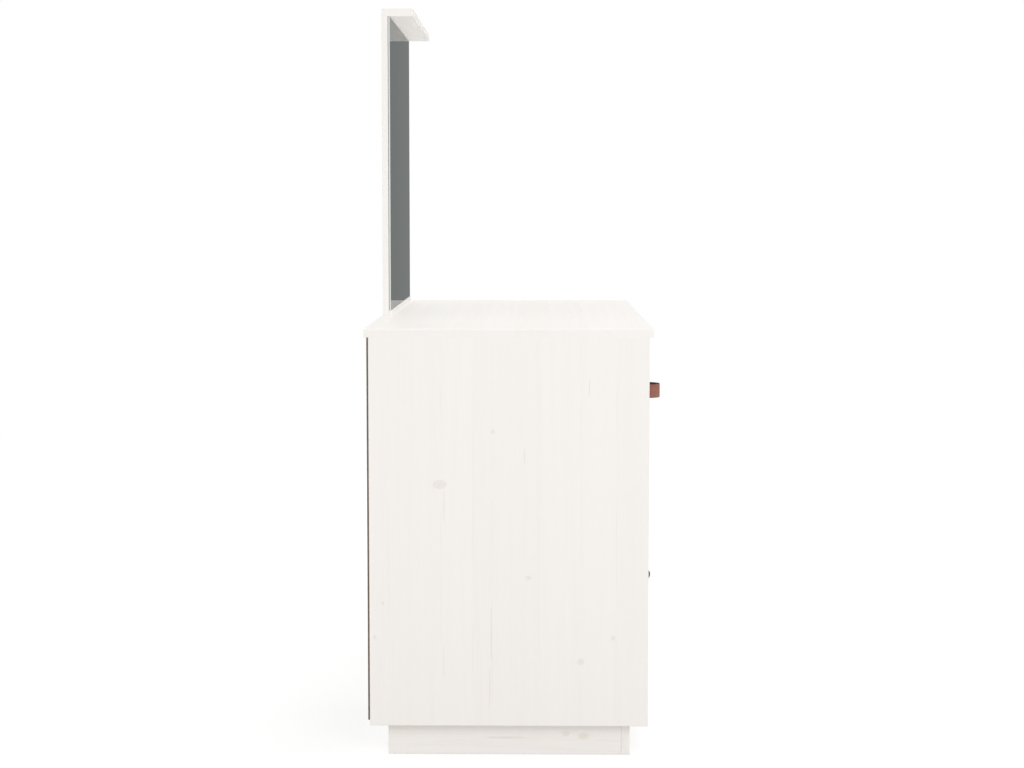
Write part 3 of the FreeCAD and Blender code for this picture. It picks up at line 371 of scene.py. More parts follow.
# %% Knots
KNOT_CELL_ACROSS = 0.13
KNOT_CELL_ALONG = 0.32
KNOT_RANDOMNESS = 0.9
KNOT_CHANCE = (0.52, 0.54)
KNOT_SMALLEST = 0.0016
KNOT_LARGEST = 0.0075
KNOT_SKEW = 2.5
KNOT_LENGTH = 1.3
KNOT_REACH = 0.030
NO_KNOT = 9


def scattered_knots(over, along, seed):
    """Distance to the nearest scattered knot in units of its size, and its pull across the grain."""
    cell = over.point(over / KNOT_CELL_ACROSS + seed, along / KNOT_CELL_ALONG + 2 * seed, 0.0)
    cell_size = (KNOT_CELL_ACROSS, KNOT_CELL_ALONG / KNOT_LENGTH, 0.0)
    knot = cell.cells("Position", Randomness=KNOT_RANDOMNESS)
    chance = cell.cells("Color", Randomness=KNOT_RANDOMNESS)
    away = over.node("ShaderNodeVectorMath", {"operation": "SUBTRACT"}, {0: cell, 1: knot})
    away = over.node("ShaderNodeVectorMath", {"operation": "MULTIPLY"}, {0: away, 1: cell_size})
    distance = away.length()
    size = KNOT_SMALLEST + (KNOT_LARGEST - KNOT_SMALLEST) * chance.channel("Red") ** KNOT_SKEW
    present = chance.channel("Green").smooth(*KNOT_CHANCE)
    pull = away.axis("X") * distance.smooth(KNOT_REACH, 0.0) * present
    return distance / size + (1 - present) * NO_KNOT, pull


def placed_knots(over, along, marks):
    """The same for knots and checks at given places: across, along, half width, half length."""
    flat = over.point(over, along, 0.0)
    nearest = None
    pull = None
    for across_at, along_at, half_width, half_length in marks:
        sockets = {"Vector": flat, "Location": (across_at, along_at, 0.0),
                   "Scale": (half_width, half_length, 1.0)}
        away = over.node("ShaderNodeMapping", {"vector_type": "TEXTURE"}, sockets)
        distance = away.length()
        nearest = distance if nearest is None else nearest.math("MINIMUM", nearest, distance)
        # Long checks don't bend the lines.
        if half_length < KNOT_REACH / 2:
            shove = away.axis("X") * distance.smooth(KNOT_REACH / half_width, 0.0) * half_width
            pull = shove if pull is None else pull + shove
    return nearest, pull


print("knots: up to", round(2 * KNOT_LARGEST * 1000, 1), "mm wide")

# %% [markdown]
# ## Painted pine: staves and growth lines
#
# A cell pattern along one axis cuts a board into staves and gives each its own random numbers, so that
# the pattern jumps from stave to stave as in glued wood. The late wood, the hard dark part of each
# growth ring, is a noise drawn out along the fibres, which has no seam or end. Fine lines, broad bands
# and pores are three layers of it.

# %% Staves and late wood
STAVE_WIDTH = 0.062
STAVE_STEP = 7.3
STAVE_SPREAD = 40
STAVE_SHEER = 3
SEAM_HALF = 0.0005
SEAM_PATCHES = 9
SEAM_SHOWN = (0.4, 0.6)
NOISE_MIDDLE = 0.5
WANDER_SCALE = 2.3
WANDER_REACH = 0.035
KNOT_PULL = 0.8
FIBRE_STRETCH = 0.012
PORE_STRETCH = 0.06
BAND_DEPTH = 0.6
LINES = {"scale": 330.0, "detail": 4.0, "roughness": 0.6, "limits": (0.44, 0.68), "share": 0.45}
BANDS = {"scale": 75.0, "detail": 2.0, "roughness": 0.5, "limits": (0.42, 0.66), "share": 0.40}
PORES = {"scale": 1400.0, "detail": 2.0, "roughness": 0.6, "limits": (0.45, 0.75), "share": 0.15}


def staves(over, along, seed):
    """Random numbers of each stave, as a colour, and the seams between staves, which show in patches."""
    stave = over / STAVE_WIDTH + STAVE_STEP * seed
    luck = stave.cells("Color", dimensions="1D")
    edge = stave.cells("Distance", dimensions="1D", feature="DISTANCE_TO_EDGE") * STAVE_WIDTH
    patches = over.point(along * SEAM_PATCHES, stave, 0.0).noise(1.0, detail=2.0)
    return luck, edge.smooth(SEAM_HALF, 0.0) * patches.smooth(*SEAM_SHOWN)


def layer(place, scale, detail, roughness, limits, share):
    """One layer of dark wood: a noise cut to lines with soft edges, times its share."""
    return place.noise(scale, detail, roughness).smooth(*limits) * share


def late_wood(over, along, deep, luck, pull, seed):
    """Growth lines that wander along a stave and bend round its knots."""
    own = luck.channel("Red") * STAVE_SPREAD
    wander = over.point(along * WANDER_SCALE, own, seed).noise(1.0, detail=1.0) - NOISE_MIDDLE
    bent = over + wander * WANDER_REACH - pull * KNOT_PULL
    sheer = along * FIBRE_STRETCH + luck.channel("Green") * STAVE_SHEER
    lines = layer(over.point(bent, sheer, deep), **LINES)
    bands = layer(over.point(bent, sheer, deep * BAND_DEPTH), **BANDS)
    pores = layer(over.point(over, along * PORE_STRETCH, deep), **PORES)
    return lines + bands + pores


print("staves:", STAVE_WIDTH * 1000, "mm wide on average")

# %% [markdown]
# ## Painted pine: the board
#
# The paint is thin on the late wood, and thinner still on seams and knots. So a board's colour starts
# from its staves, which differ a little from each other, and takes on late wood, seams and knots in
# turn. One colour with bump alone would look like moulded plastic, so the same masks also set the
# gloss: thin paint is duller on late wood, and a hard knot shines a little.

# %% Pine recipe
KNOT_HEART = (1.1, 0.3)
KNOT_RIM_INSIDE = (0.7, 0.95)
KNOT_RIM_OUTSIDE = (1.3, 1.0)
KNOT_HALO = (3.2, 1.0)
KNOT_SHARE = 0.6
HALO_SHARE = 0.22
SEAM_SHARE = 0.35
PAINT_LEVEL = 0.6
LATE_DIP = 0.35
SEAM_DIP = 0.45
KNOT_LIFT = 0.2
RELIEF = 0.00028
LATE_DULL = 0.10
KNOT_POLISH = 0.08
PAINT_GLOSS = 0.35
PAINTED = {
    "early": (0.912, 0.884, 0.856),
    "late": (0.835, 0.785, 0.720),
    "seam": (0.70, 0.63, 0.55),
    "knot": (0.60, 0.52, 0.44),
    "late_share": 0.26,
    "stave_share": 0.20,
    "knot_share": 0.42,
    "roughness": 0.46,
}
ROUGH_PAINTED = {**PAINTED, "late_share": 0.50}
BARE = {
    "early": (0.70, 0.50, 0.29),
    "late": (0.46, 0.25, 0.11),
    "seam": (0.34, 0.20, 0.10),
    "knot": (0.20, 0.085, 0.03),
    "late_share": 0.75,
    "stave_share": 0.5,
    "knot_share": 0.85,
    "roughness": 0.60,
}


def pine(node, grain, across, look, seed, marks=None):
    """Pine board: grain is the axis along its fibres, across the one from stave to stave."""
    finish, place = new_finish(f"pine_{node}")
    through = next(letter for letter in "XYZ" if letter not in (grain, across))
    along, over, deep = place.axis(grain), place.axis(across), place.axis(through)
    luck, seam = staves(over, along, seed)
    knot, pull = placed_knots(over, along, marks) if marks else scattered_knots(over, along, seed)
    late = late_wood(over, along, deep, luck, pull, seed)
    rim = knot.smooth(*KNOT_RIM_INSIDE) * knot.smooth(*KNOT_RIM_OUTSIDE)
    heart = knot.smooth(*KNOT_HEART) * KNOT_SHARE + rim * KNOT_SHARE
    halo = knot.smooth(*KNOT_HALO) * HALO_SHARE
    tone = (luck.channel("Blue") * look["stave_share"]).mix(look["early"], look["late"])
    tone = ((late + halo) * look["late_share"]).mix(tone, look["late"])
    tone = (seam * SEAM_SHARE).mix(tone, look["seam"])
    tone = (heart * look["knot_share"]).mix(tone, look["knot"])
    height = PAINT_LEVEL - late * LATE_DIP - seam * SEAM_DIP + heart * KNOT_LIFT
    shade(finish, Base_Color=tone, Roughness=look["roughness"] + late * LATE_DULL - heart * KNOT_POLISH,
          Normal=bump(height, RELIEF), Specular_IOR_Level=PAINT_GLOSS)
    return finish


print("late wood's share:", PAINTED["late_share"], "under paint,", BARE["late_share"], "on bare pine")

# %% [markdown]
# ## Which way the fibres run
#
# Upright boards have upright fibres and flat boards lengthwise ones, as a joiner cuts them. One recipe
# serves them all, with two letters for each group: the axis of the fibres and the axis across them.
# The left side panel faces the camera, so its knots, checks and resin streaks are put where they are
# on the real panel, and so are those of the plinth below it. The tabletop has a few small knots away
# from its edges.

# %% Grain and marks
GRAIN = {
    "ZY": ["left_side_panel", "pedestal_partition", "right_side_panel"],
    "ZX": ["door_panel", "mirror_back_board"],
    "XY": ["tabletop", "pedestal_bottom_board", "drawer_divider", "cupboard_shelf", "mirror_top_board"],
    "XZ": ["drawer_front", "drawer_back", "knee_back_rail", "plinth_front_board", "plinth_back_board",
           "mirror_ledge"],
    "YZ": ["drawer_side_left", "drawer_side_right", "plinth_left_board", "plinth_right_board",
           "right_foot_rail"],
}
MARKS = {
    "left_side_panel": [
        (0.1305, 0.4805, 0.0100, 0.0065),
        (0.0390, 0.5726, 0.0026, 0.0030),
        (-0.0230, 0.3180, 0.0042, 0.0030),
        (0.2300, 0.2720, 0.0022, 0.0024),
        (0.2440, 0.2120, 0.0024, 0.0028),
        (-0.1700, 0.2120, 0.0034, 0.0032),
        (-0.1140, 0.1700, 0.0048, 0.0046),
        (0.1230, 0.4420, 0.0009, 0.0260),
        (0.0410, 0.2200, 0.0010, 0.0420),
        (0.0440, 0.1240, 0.0008, 0.0300),
        (0.1240, 0.1700, 0.0008, 0.0240),
        (-0.0165, 0.5300, 0.0008, 0.0120),
        (-0.1280, 0.6480, 0.0008, 0.0140),
    ],
    "tabletop": [
        (0.1320, -0.3070, 0.0024, 0.0030),
        (-0.1050, -0.1400, 0.0036, 0.0046),
        (0.0270, 0.0900, 0.0018, 0.0022),
        (-0.0480, 0.3350, 0.0030, 0.0038),
    ],
    "plinth_left_board": [
        (0.0373, -0.0888, 0.0040, 0.0052),
        (0.0330, -0.1190, 0.0050, 0.0075),
        (0.0300, 0.0150, 0.0016, 0.0280),
    ],
}
print("placed marks:", {node: len(marks) for node, marks in MARKS.items()})

# %% Pine on every board
SEED_STEP = 0.37
BLOCK_SEED = 3.1

dressed = set()


def dress(node, finish):
    """Put a finish on a node of the frame."""
    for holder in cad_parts[node].material_slots:
        holder.material = finish
    dressed.add(node)


for axes, nodes in GRAIN.items():
    for node in nodes:
        look = ROUGH_PAINTED if "plinth" in node else PAINTED
        seed = SEED_STEP * (len(dressed) + 1)
        dress(node, pine(node, axes[0], axes[1], look, seed, MARKS.get(node)))
dress("plinth_corner_blocks", pine("plinth_corner_blocks", "Z", "X", BARE, BLOCK_SEED))
print("pine nodes:", len(dressed))

# %% [markdown]
# ## Other woods
#
# The back is a thin sheet of brown fibreboard, pressed from short fibres with no direction. The
# drawer's floor is plywood with a peeled birch face, and the dowels are beech with its short flecks.
# These pieces are small or mostly hidden, so the pine recipe would be more than they need. Each is a
# noise or two between a dark and a pale tone, drawn out only where the wood has a direction.

# %% Fibreboard, plywood and beech
NOISE_RANGE = (0.3, 0.7)
FIBRE_DARK, FIBRE_PALE = (0.088, 0.066, 0.048), (0.190, 0.145, 0.104)
CLUMP_SCALE, CLUMP_SHARE = 130.0, 0.5
FIBRE_SCALE, FIBRE_SHARE = 1500.0, 0.5
BIRCH_PALE, BIRCH_DARK = (0.74, 0.60, 0.43), (0.60, 0.44, 0.28)
WAVE_ACROSS, WAVE_ALONG, WAVE_REACH = 3, 1.2, 0.09
BIRCH_BANDS = {"scale": 60.0, "detail": 3.0, "roughness": 0.5, "limits": (0.35, 0.65), "share": 0.7}
BAND_STRETCH, BIRCH_PORE_STRETCH = 0.03, 0.05
BIRCH_PORE_SCALE, BIRCH_PORE_LIMITS, BIRCH_PORE_SHARE = 900.0, (0.4, 0.7), 0.3
BEECH_PALE, BEECH_DARK = (0.60, 0.40, 0.24), (0.42, 0.25, 0.13)
FLECK_SCALE, FLECK_LIMITS = 700.0, (0.4, 0.65)


def fibreboard():
    finish, place = new_finish("fibreboard")
    clumps = place.noise(CLUMP_SCALE, detail=4.0, roughness=0.65)
    fibres = place.noise(FIBRE_SCALE, detail=3.0, roughness=0.7)
    blend = clumps.smooth(*NOISE_RANGE) * CLUMP_SHARE + fibres.smooth(*NOISE_RANGE) * FIBRE_SHARE
    shade(finish, Base_Color=blend.mix(FIBRE_DARK, FIBRE_PALE), Roughness=0.62 + fibres * 0.2,
          Normal=bump(fibres, distance=0.00012))
    return finish


def plywood():
    finish, place = new_finish("birch_plywood")
    x, y = place.axis("X"), place.axis("Y")
    wave = place.point(x * WAVE_ACROSS, y * WAVE_ALONG, 0.0).noise(1.0, detail=2.0)
    bands = layer(place.point(x + wave * WAVE_REACH, y * BAND_STRETCH, 0.0), **BIRCH_BANDS)
    pores = place.point(x, y * BIRCH_PORE_STRETCH, 0.0).noise(BIRCH_PORE_SCALE, detail=2.0)
    blend = bands + pores.smooth(*BIRCH_PORE_LIMITS) * BIRCH_PORE_SHARE
    shade(finish, Base_Color=blend.mix(BIRCH_PALE, BIRCH_DARK), Roughness=0.52 + pores * 0.12,
          Normal=bump(pores, distance=0.00008))
    return finish


def beech():
    finish, place = new_finish("beech")
    flecks = place.noise(FLECK_SCALE, detail=2.0, roughness=0.6)
    tone = flecks.smooth(*FLECK_LIMITS).mix(BEECH_PALE, BEECH_DARK)
    shade(finish, Base_Color=tone, Roughness=0.5 + flecks * 0.15, Normal=bump(flecks, distance=0.0001))
    return finish


dress("pedestal_back_board", fibreboard())
dress("drawer_bottom_panel", plywood())
dowel_wood = beech()
for node in ("carcass_dowels", "mirror_dowels", "drawer_dowels"):
    dress(node, dowel_wood)
print("wooden nodes:", len(dressed))

# %% [markdown]
# ## The mirror
#
# A mirror is glass with silver behind it, and seen from the side it turns grey and dim. Clear glass in
# front of a metal sheet would need more bounces of light and come out noisy, so one metal stands for
# both. Its reflection is set lower at a flat angle. The ground edges of the glass, found by the way
# they face, are a rough pale green.

# %% Mirror glass and its tape
SILVER = (0.82, 0.835, 0.83)
SILVER_AT_FLAT_ANGLE = (0.33, 0.337, 0.337)
SILVER_FACING = (-0.80, -0.97)
GLASS_EDGE = (0.68, 0.73, 0.71)
SILVER_ROUGHNESS, EDGE_ROUGHNESS = 0.015, 0.35
SMEAR_SCALE, SMEAR_LIMITS, SMEAR_ROUGHNESS = 14.0, (0.5, 0.8), 0.012
TAPE_DARK, TAPE_PALE = (0.74, 0.74, 0.72), (0.86, 0.86, 0.84)
TAPE_SCALE = 2500.0


def mirror():
    finish, place = new_finish("mirror_silver")
    front = place.node("ShaderNodeNewGeometry", None, None, "Normal").axis("Y").smooth(*SILVER_FACING)
    smears = place.noise(SMEAR_SCALE, detail=3.0, roughness=0.6).smooth(*SMEAR_LIMITS) * SMEAR_ROUGHNESS
    shade(finish, Base_Color=front.mix(GLASS_EDGE, SILVER), Metallic=front,
          Roughness=EDGE_ROUGHNESS - front * (EDGE_ROUGHNESS - SILVER_ROUGHNESS) + smears,
          Specular_Tint=SILVER_AT_FLAT_ANGLE)
    return finish


def foam_tape():
    finish, place = new_finish("foam_tape")
    cells = place.noise(TAPE_SCALE, detail=2.0, roughness=0.6)
    shade(finish, Base_Color=cells.mix(TAPE_DARK, TAPE_PALE), Roughness=0.85,
          Normal=bump(cells, distance=0.0001))
    return finish


dress("mirror_glass", mirror())
dress("mirror_tape", foam_tape())

# %% [markdown]
# ## Metals, enamel and plastics
#
# Zinc plating is bright with cloudy patches, cast zinc is duller and grainy, and the brass screws of
# the strap have darkened. The runners wear a white baked enamel with a slight orange-peel skin. Rollers
# and bushes are nylon, and the door's knob is turned wood or metal under satin black lacquer. Six
# recipes could be written out, but they differ only in colour and scale, so there are two: one for
# metals, and one for everything that is nearly one colour with a fine uneven skin.

# %% Hard finishes
METAL_GRAIN = 2600.0
SKIN_CLOUDS = 45.0


def cloudy_metal(name, light, dark, roughness, patch_scale, grain_depth):
    finish, place = new_finish(name)
    patches = place.noise(patch_scale, detail=4.0, roughness=0.6)
    grain = place.noise(METAL_GRAIN, detail=2.0, roughness=0.6)
    shade(finish, Base_Color=patches.smooth(*NOISE_RANGE).mix(light, dark), Metallic=1.0,
          Roughness=roughness + patches * 0.14 + grain * 0.05, Normal=bump(grain, grain_depth))
    return finish


def skin(name, light, dark, roughness, peel_scale, peel_depth):
    finish, place = new_finish(name)
    peel = place.noise(peel_scale, detail=2.0, roughness=0.5)
    clouds = place.noise(SKIN_CLOUDS, detail=3.0, roughness=0.6)
    shade(finish, Base_Color=clouds.smooth(*NOISE_RANGE).mix(light, dark),
          Roughness=roughness + clouds * 0.08 + peel * 0.05, Normal=bump(peel, peel_depth))
    return finish


zinc = cloudy_metal("zinc_plate", light=(0.74, 0.75, 0.77), dark=(0.60, 0.61, 0.62), roughness=0.22,
                    patch_scale=260.0, grain_depth=0.00002)
cast_zinc = cloudy_metal("cast_zinc", light=(0.56, 0.57, 0.58), dark=(0.44, 0.45, 0.46), roughness=0.38,
                         patch_scale=420.0, grain_depth=0.00006)
old_brass = cloudy_metal("old_brass", light=(0.42, 0.29, 0.14), dark=(0.22, 0.14, 0.07), roughness=0.30,
                         patch_scale=420.0, grain_depth=0.00003)
enamel = skin("white_enamel", light=(0.84, 0.84, 0.825), dark=(0.80, 0.80, 0.78), roughness=0.30,
              peel_scale=900.0, peel_depth=0.00003)
nylon = skin("white_nylon", light=(0.80, 0.80, 0.775), dark=(0.75, 0.75, 0.72), roughness=0.48,
             peel_scale=1400.0, peel_depth=0.00003)
lacquer = skin("black_lacquer", light=(0.012, 0.012, 0.012), dark=(0.020, 0.019, 0.018), roughness=0.26,
               peel_scale=1100.0, peel_depth=0.00002)
print("hard finishes:", [finish.name for finish in (zinc, cast_zinc, old_brass, enamel, nylon, lacquer)])

# %% Hard finishes on their pieces
HARD = (
    (zinc, ["cam_bolts", "cabinet_roller_axles", "drawer_roller_axles", "shelf_supports",
            "door_pivot_pins", "catch_plate"]),
    (cast_zinc, ["cam_locks"]),
    (enamel, ["cabinet_runner_left", "cabinet_runner_right", "drawer_runner_left", "drawer_runner_right"]),
    (nylon, ["pivot_bushes", "door_catch", "front_roller_left", "front_roller_right", "rear_roller_left",
             "rear_roller_right"]),
    (lacquer, ["door_knob"]),
)
for finish, nodes in HARD:
    for node in nodes:
        dress(node, finish)
print("dressed nodes:", len(dressed))

# %% [markdown]
# ## The leather strap
#
# The drawer's handle is a strap cut from thick leather: two flat tabs on the drawer front and a bow
# between them. A curve with a bevel could give it, but not the rounded corners of its tabs. So it is
# swept along its own middle line, as a strap keeps its section wherever it bends. The line is half of
# the bow, a bend the other way and a tab, which meet smoothly, and then the same mirrored.

# %% The strap's middle line
STRAP_THICK = 0.0025
STRAP_SPAN = 0.058
STRAP_BEND = 0.008
BOW_STEPS = 28
BEND_STEPS = 14
TAB_STEPS = 12

strap_low, strap_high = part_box("handle_strap")
strap_middle = (strap_low + strap_high) / 2
half_thick = STRAP_THICK / 2
half_height = (strap_high.z - strap_low.z) / 2
half_span = STRAP_SPAN / 2
tab_end = (strap_high.x - strap_low.x) / 2
rise = strap_high.y - strap_low.y - STRAP_THICK
both_radii = (half_span ** 2 + rise ** 2) / (2 * rise)
bow_radius = both_radii - STRAP_BEND
bow_turn = math.acos((both_radii - rise) / both_radii)


def strap_half():
    """Right half of the middle line, from crown to tab: (sideways, out from the drawer front, normal)."""
    line = []
    bow_out = half_thick + rise - bow_radius
    for step in range(BOW_STEPS):
        turn = bow_turn * step / BOW_STEPS
        normal = (math.sin(turn), math.cos(turn))
        line.append((bow_radius * normal[0], bow_out + bow_radius * normal[1], normal))
    for step in range(BEND_STEPS):
        turn = bow_turn * (1 - step / BEND_STEPS)
        normal = (math.sin(turn), math.cos(turn))
        bend_out = half_thick + STRAP_BEND * (1 - normal[1])
        line.append((half_span - STRAP_BEND * normal[0], bend_out, normal))
    for step in range(TAB_STEPS + 1):
        share = math.sin(math.pi / 2 * step / TAB_STEPS)
        line.append((half_span + (tab_end - half_span) * share, half_thick, (0.0, 1.0)))
    return line


right_half = strap_half()
left_half = [(-x, out, (-normal[0], normal[1])) for x, out, normal in reversed(right_half[1:])]
strap_line = left_half + right_half
lengths = [0.0]
for before, after in zip(strap_line, strap_line[1:]):
    lengths.append(lengths[-1] + math.dist(before[:2], after[:2]))
print("strap:", round(lengths[-1] * 1000, 1), "mm long, bow radius", round(bow_radius * 1000, 1), "mm")

# %% The strap's section
EDGE_ROUND = 0.0009
FACE_STEPS = 10
CORNER_STEPS = 4


def strap_outline():
    """Once round the strap's section, with rounded corners: (out, up) from its middle."""
    outline = []
    for corner, (side, up) in enumerate(((1, 1), (-1, 1), (-1, -1), (1, -1))):
        for step in range(CORNER_STEPS + 1):
            turn = math.pi / 2 * (corner + step / CORNER_STEPS)
            outline.append((side * (half_thick - EDGE_ROUND) + EDGE_ROUND * math.cos(turn),
                            up * (half_height - EDGE_ROUND) + EDGE_ROUND * math.sin(turn)))
        if side * up < 0:
            for step in range(1, FACE_STEPS):
                share = 1 - 2 * step / FACE_STEPS
                outline.append((side * half_thick, up * (half_height - EDGE_ROUND) * share))
    return outline


section = strap_outline()
around = [0.0]
for before, after in zip(section, section[1:] + section[:1]):
    around.append(around[-1] + math.dist(before, after))
print("section:", len(section), "points,", round(around[-1] * 1000, 1), "mm round")

# %% [markdown]
# The sweep sets a ring of points round each point of the line and joins the rings with faces. Near the
# ends the rings shrink along a quarter circle, which rounds the corners of the tabs. Lengths along and
# round the strap go to its UV map, so that the leather's grain follows the bend. Two attributes mark
# the cut edges, which carry dark edge paint with painted shade of the hollow behind the bow on top,
# and the rough flesh side, which is painted near black as the shade it lies in.

# %% Strap mesh
TAB_CORNER = 0.006
STRAP_CREASE = math.radians(50)


def strap_rings(mesh):
    """A ring of points for each point of the middle line."""
    rings = []
    for (x, out, normal), length in zip(strap_line, lengths):
        to_end = min(length, lengths[-1] - length)
        room = max(TAB_CORNER - to_end, 0.0)
        squeeze = (half_height - TAB_CORNER + math.sqrt(TAB_CORNER ** 2 - room ** 2)) / half_height
        rings.append([mesh.verts.new((strap_middle.x + x + thick * normal[0],
                                      strap_high.y - out - thick * normal[1],
                                      strap_middle.z + height * squeeze)) for thick, height in section])
    return rings


def join_rings(mesh, rings):
    """Faces between the rings and over both ends, with lengths in metres as their UV map."""
    uv = mesh.loops.layers.uv.new("leather")
    for i in range(len(rings) - 1):
        for k in range(len(section)):
            j = (k + 1) % len(section)
            face = mesh.faces.new((rings[i][k], rings[i][j], rings[i + 1][j], rings[i + 1][k]))
            for loop, (u, v) in zip(face.loops, ((i, k), (i, k + 1), (i + 1, k + 1), (i + 1, k))):
                loop[uv].uv = (lengths[u], around[v])
    for ring in (rings[0], rings[-1]):
        for loop in mesh.faces.new(ring).loops:
            loop[uv].uv = (loop.vert.co.z, loop.vert.co.y)


def build_strap():
    mesh = bmesh.new()
    rings = strap_rings(mesh)
    join_rings(mesh, rings)
    bmesh.ops.recalc_face_normals(mesh, faces=mesh.faces)
    data = bpy.data.meshes.new("leather_strap")
    mesh.to_mesh(data)
    mesh.free()
    # The edge mask carries dark edge paint and painted shade. The flesh mask marks the side painted dark
    # as shade.
    burnish = data.attributes.new("burnish", "FLOAT", "POINT")
    flesh = data.attributes.new("flesh", "FLOAT", "POINT")
    edge_start = half_height - EDGE_ROUND
    for index, (thick, height) in enumerate(section * len(rings)):
        burnish.data[index].value = max(0.0, (abs(height) - edge_start) / EDGE_ROUND)
        flesh.data[index].value = 1.0 if thick < EDGE_ROUND - half_thick else 0.0
    data.shade_smooth()
    data.set_sharp_from_angle(angle=STRAP_CREASE)
    made = bpy.data.objects.new("leather_strap", data)
    scene.collection.objects.link(made)
    return made


strap = build_strap()
print("strap mesh:", len(strap.data.vertices), "points,", len(strap.data.polygons), "faces")

# %% [markdown]
# ## Leather
#
# The grain side of leather is a net of fine creases between small pebbles, over clouds of lighter and
# darker dye. Noise alone looks like felt, so two cell patterns give the pebbles and the creases, and a
# noise only the clouds. The flesh side is fuzzy and painted near black, as painted shade of the hollow
# between the bow and the drawer front. The cut edges are dark edge paint, darkened further as painted
# shade of that hollow.

# %% Leather
HIDE_PALE, HIDE_DARK = (0.368, 0.150, 0.106), (0.290, 0.108, 0.074)
CREASE_TONE, CREASE_SHARE = (0.170, 0.060, 0.041), 0.45
# Painted shade: the flesh side and the cut edges are made near black for the shaded hollow behind the bow.
SHADED_FLESH_DARK, SHADED_FLESH_PALE = (0.040, 0.013, 0.009), (0.075, 0.026, 0.018)
BURNISHED_AND_SHADED, BURNISH_AND_SHADE_FADE = (0.030, 0.008, 0.006), (0.1, 0.7)
PEBBLE_SCALE, PEBBLE_SMOOTHNESS = 1100.0, 0.6
CREASE_SCALE, CREASE_WIDTH = 900.0, 0.26
DYE_SCALE, FUZZ_SCALE = 110.0, 1600.0
CREASE_HEIGHT, PEBBLE_HEIGHT, DYE_HEIGHT = 0.5, 0.4, 0.6
GRAIN_RELIEF, GRAIN_STRENGTH = 0.00012, 0.8
LEATHER_GLOSS = 0.4


def leather():
    finish, place = new_finish("brown_leather")
    hide = place.node("ShaderNodeUVMap", {"uv_map": "leather"})
    edge = place.node("ShaderNodeAttribute", {"attribute_name": "burnish"}, None, "Fac")
    flesh = place.node("ShaderNodeAttribute", {"attribute_name": "flesh"}, None, "Fac")
    pebble = hide.cells("Distance", PEBBLE_SCALE, feature="SMOOTH_F1", Smoothness=PEBBLE_SMOOTHNESS)
    crease = hide.cells("Distance", CREASE_SCALE, feature="DISTANCE_TO_EDGE").smooth(0.0, CREASE_WIDTH)
    dye = hide.noise(DYE_SCALE, detail=4.0, roughness=0.6)
    fuzz = hide.noise(FUZZ_SCALE, detail=3.0, roughness=0.7)
    tone = dye.smooth(*NOISE_RANGE).mix(HIDE_PALE, HIDE_DARK)
    tone = ((1 - crease) * CREASE_SHARE).mix(tone, CREASE_TONE)
    # Painted shade: the flesh side, inside the bow, is painted near black.
    tone = flesh.mix(tone, fuzz.mix(SHADED_FLESH_DARK, SHADED_FLESH_PALE))
    # Dark edge paint, darkened further as painted shade of the hollow seen over the top edge.
    tone = edge.smooth(*BURNISH_AND_SHADE_FADE).mix(tone, BURNISHED_AND_SHADED)
    height = crease * CREASE_HEIGHT + pebble * PEBBLE_HEIGHT + dye * DYE_HEIGHT
    shade(finish, Base_Color=tone, Roughness=0.50 + dye * 0.12 + flesh * 0.3 - edge * 0.12,
          Normal=bump(height, GRAIN_RELIEF, GRAIN_STRENGTH), Specular_IOR_Level=LEATHER_GLOSS)
    return finish


strap.data.materials.append(leather())
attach(strap, "drawer")
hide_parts("handle_strap")
dressed.add("handle_strap")
print("strap finish:", strap.data.materials[0].name)

# %% [markdown]
# ## Screws
#
# A screw is one shape in many places. Copies could be set by hand, but one node tree that makes the
# shape and sets it on points keeps them all alike. The points, the way each screw faces and its sizes
# are measured on the frame's plain screws, so that the finished ones sit in the same holes.

# %% Screws measured on the frame
SUNK_RECESS = 0.0011
PAN_RECESS_SHARE = 0.75
SAME_POINT = 1e-6
SAME_HEIGHT = 1e-5


def solids_of(node):
    """The separate solids of a node, each as a list of its points."""
    mesh = bmesh.new()
    mesh.from_mesh(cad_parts[node].data)
    bmesh.ops.remove_doubles(mesh, verts=mesh.verts, dist=SAME_POINT)
    found = set()
    solids = []
    for first in mesh.verts:
        if first in found:
            continue
        found.add(first)
        reached = [first]
        for vert in reached:
            for edge in vert.link_edges:
                neighbour = edge.other_vert(vert)
                if neighbour not in found:
                    found.add(neighbour)
                    reached.append(neighbour)
        solids.append([vert.co.copy() for vert in reached])
    mesh.free()
    return solids


def measure_screw(points):
    """Where a screw's head sits, the way it faces, and its sizes."""
    lows = [min(p[j] for p in points) for j in range(3)]
    highs = [max(p[j] for p in points) for j in range(3)]
    middle = [(high + low) / 2 for low, high in zip(lows, highs)]
    # Axis k runs along the screw, a and b across it.
    k = max(range(3), key=lambda j: highs[j] - lows[j])
    a, b = [j for j in range(3) if j != k]

    def radius(p):
        return math.hypot(p[a] - middle[a], p[b] - middle[b])

    rim = max(points, key=radius)
    facing = 1 if highs[k] - rim[k] < rim[k] - lows[k] else -1
    near, far = (highs[k], lows[k]) if facing > 0 else (lows[k], highs[k])
    crown = abs(near - rim[k])
    if crown < SAME_HEIGHT:
        crown = 0.0
    seat, out = Vector(middle), Vector((0, 0, 0))
    seat[k] = rim[k]
    out[k] = facing
    shank = max(radius(p) for p in points if abs(p[k] - far) < SAME_HEIGHT)
    return {"seat": seat, "out": out, "head": radius(rim), "crown": crown, "shank": shank,
            "length": abs(far - rim[k]), "recess": PAN_RECESS_SHARE * crown or SUNK_RECESS}


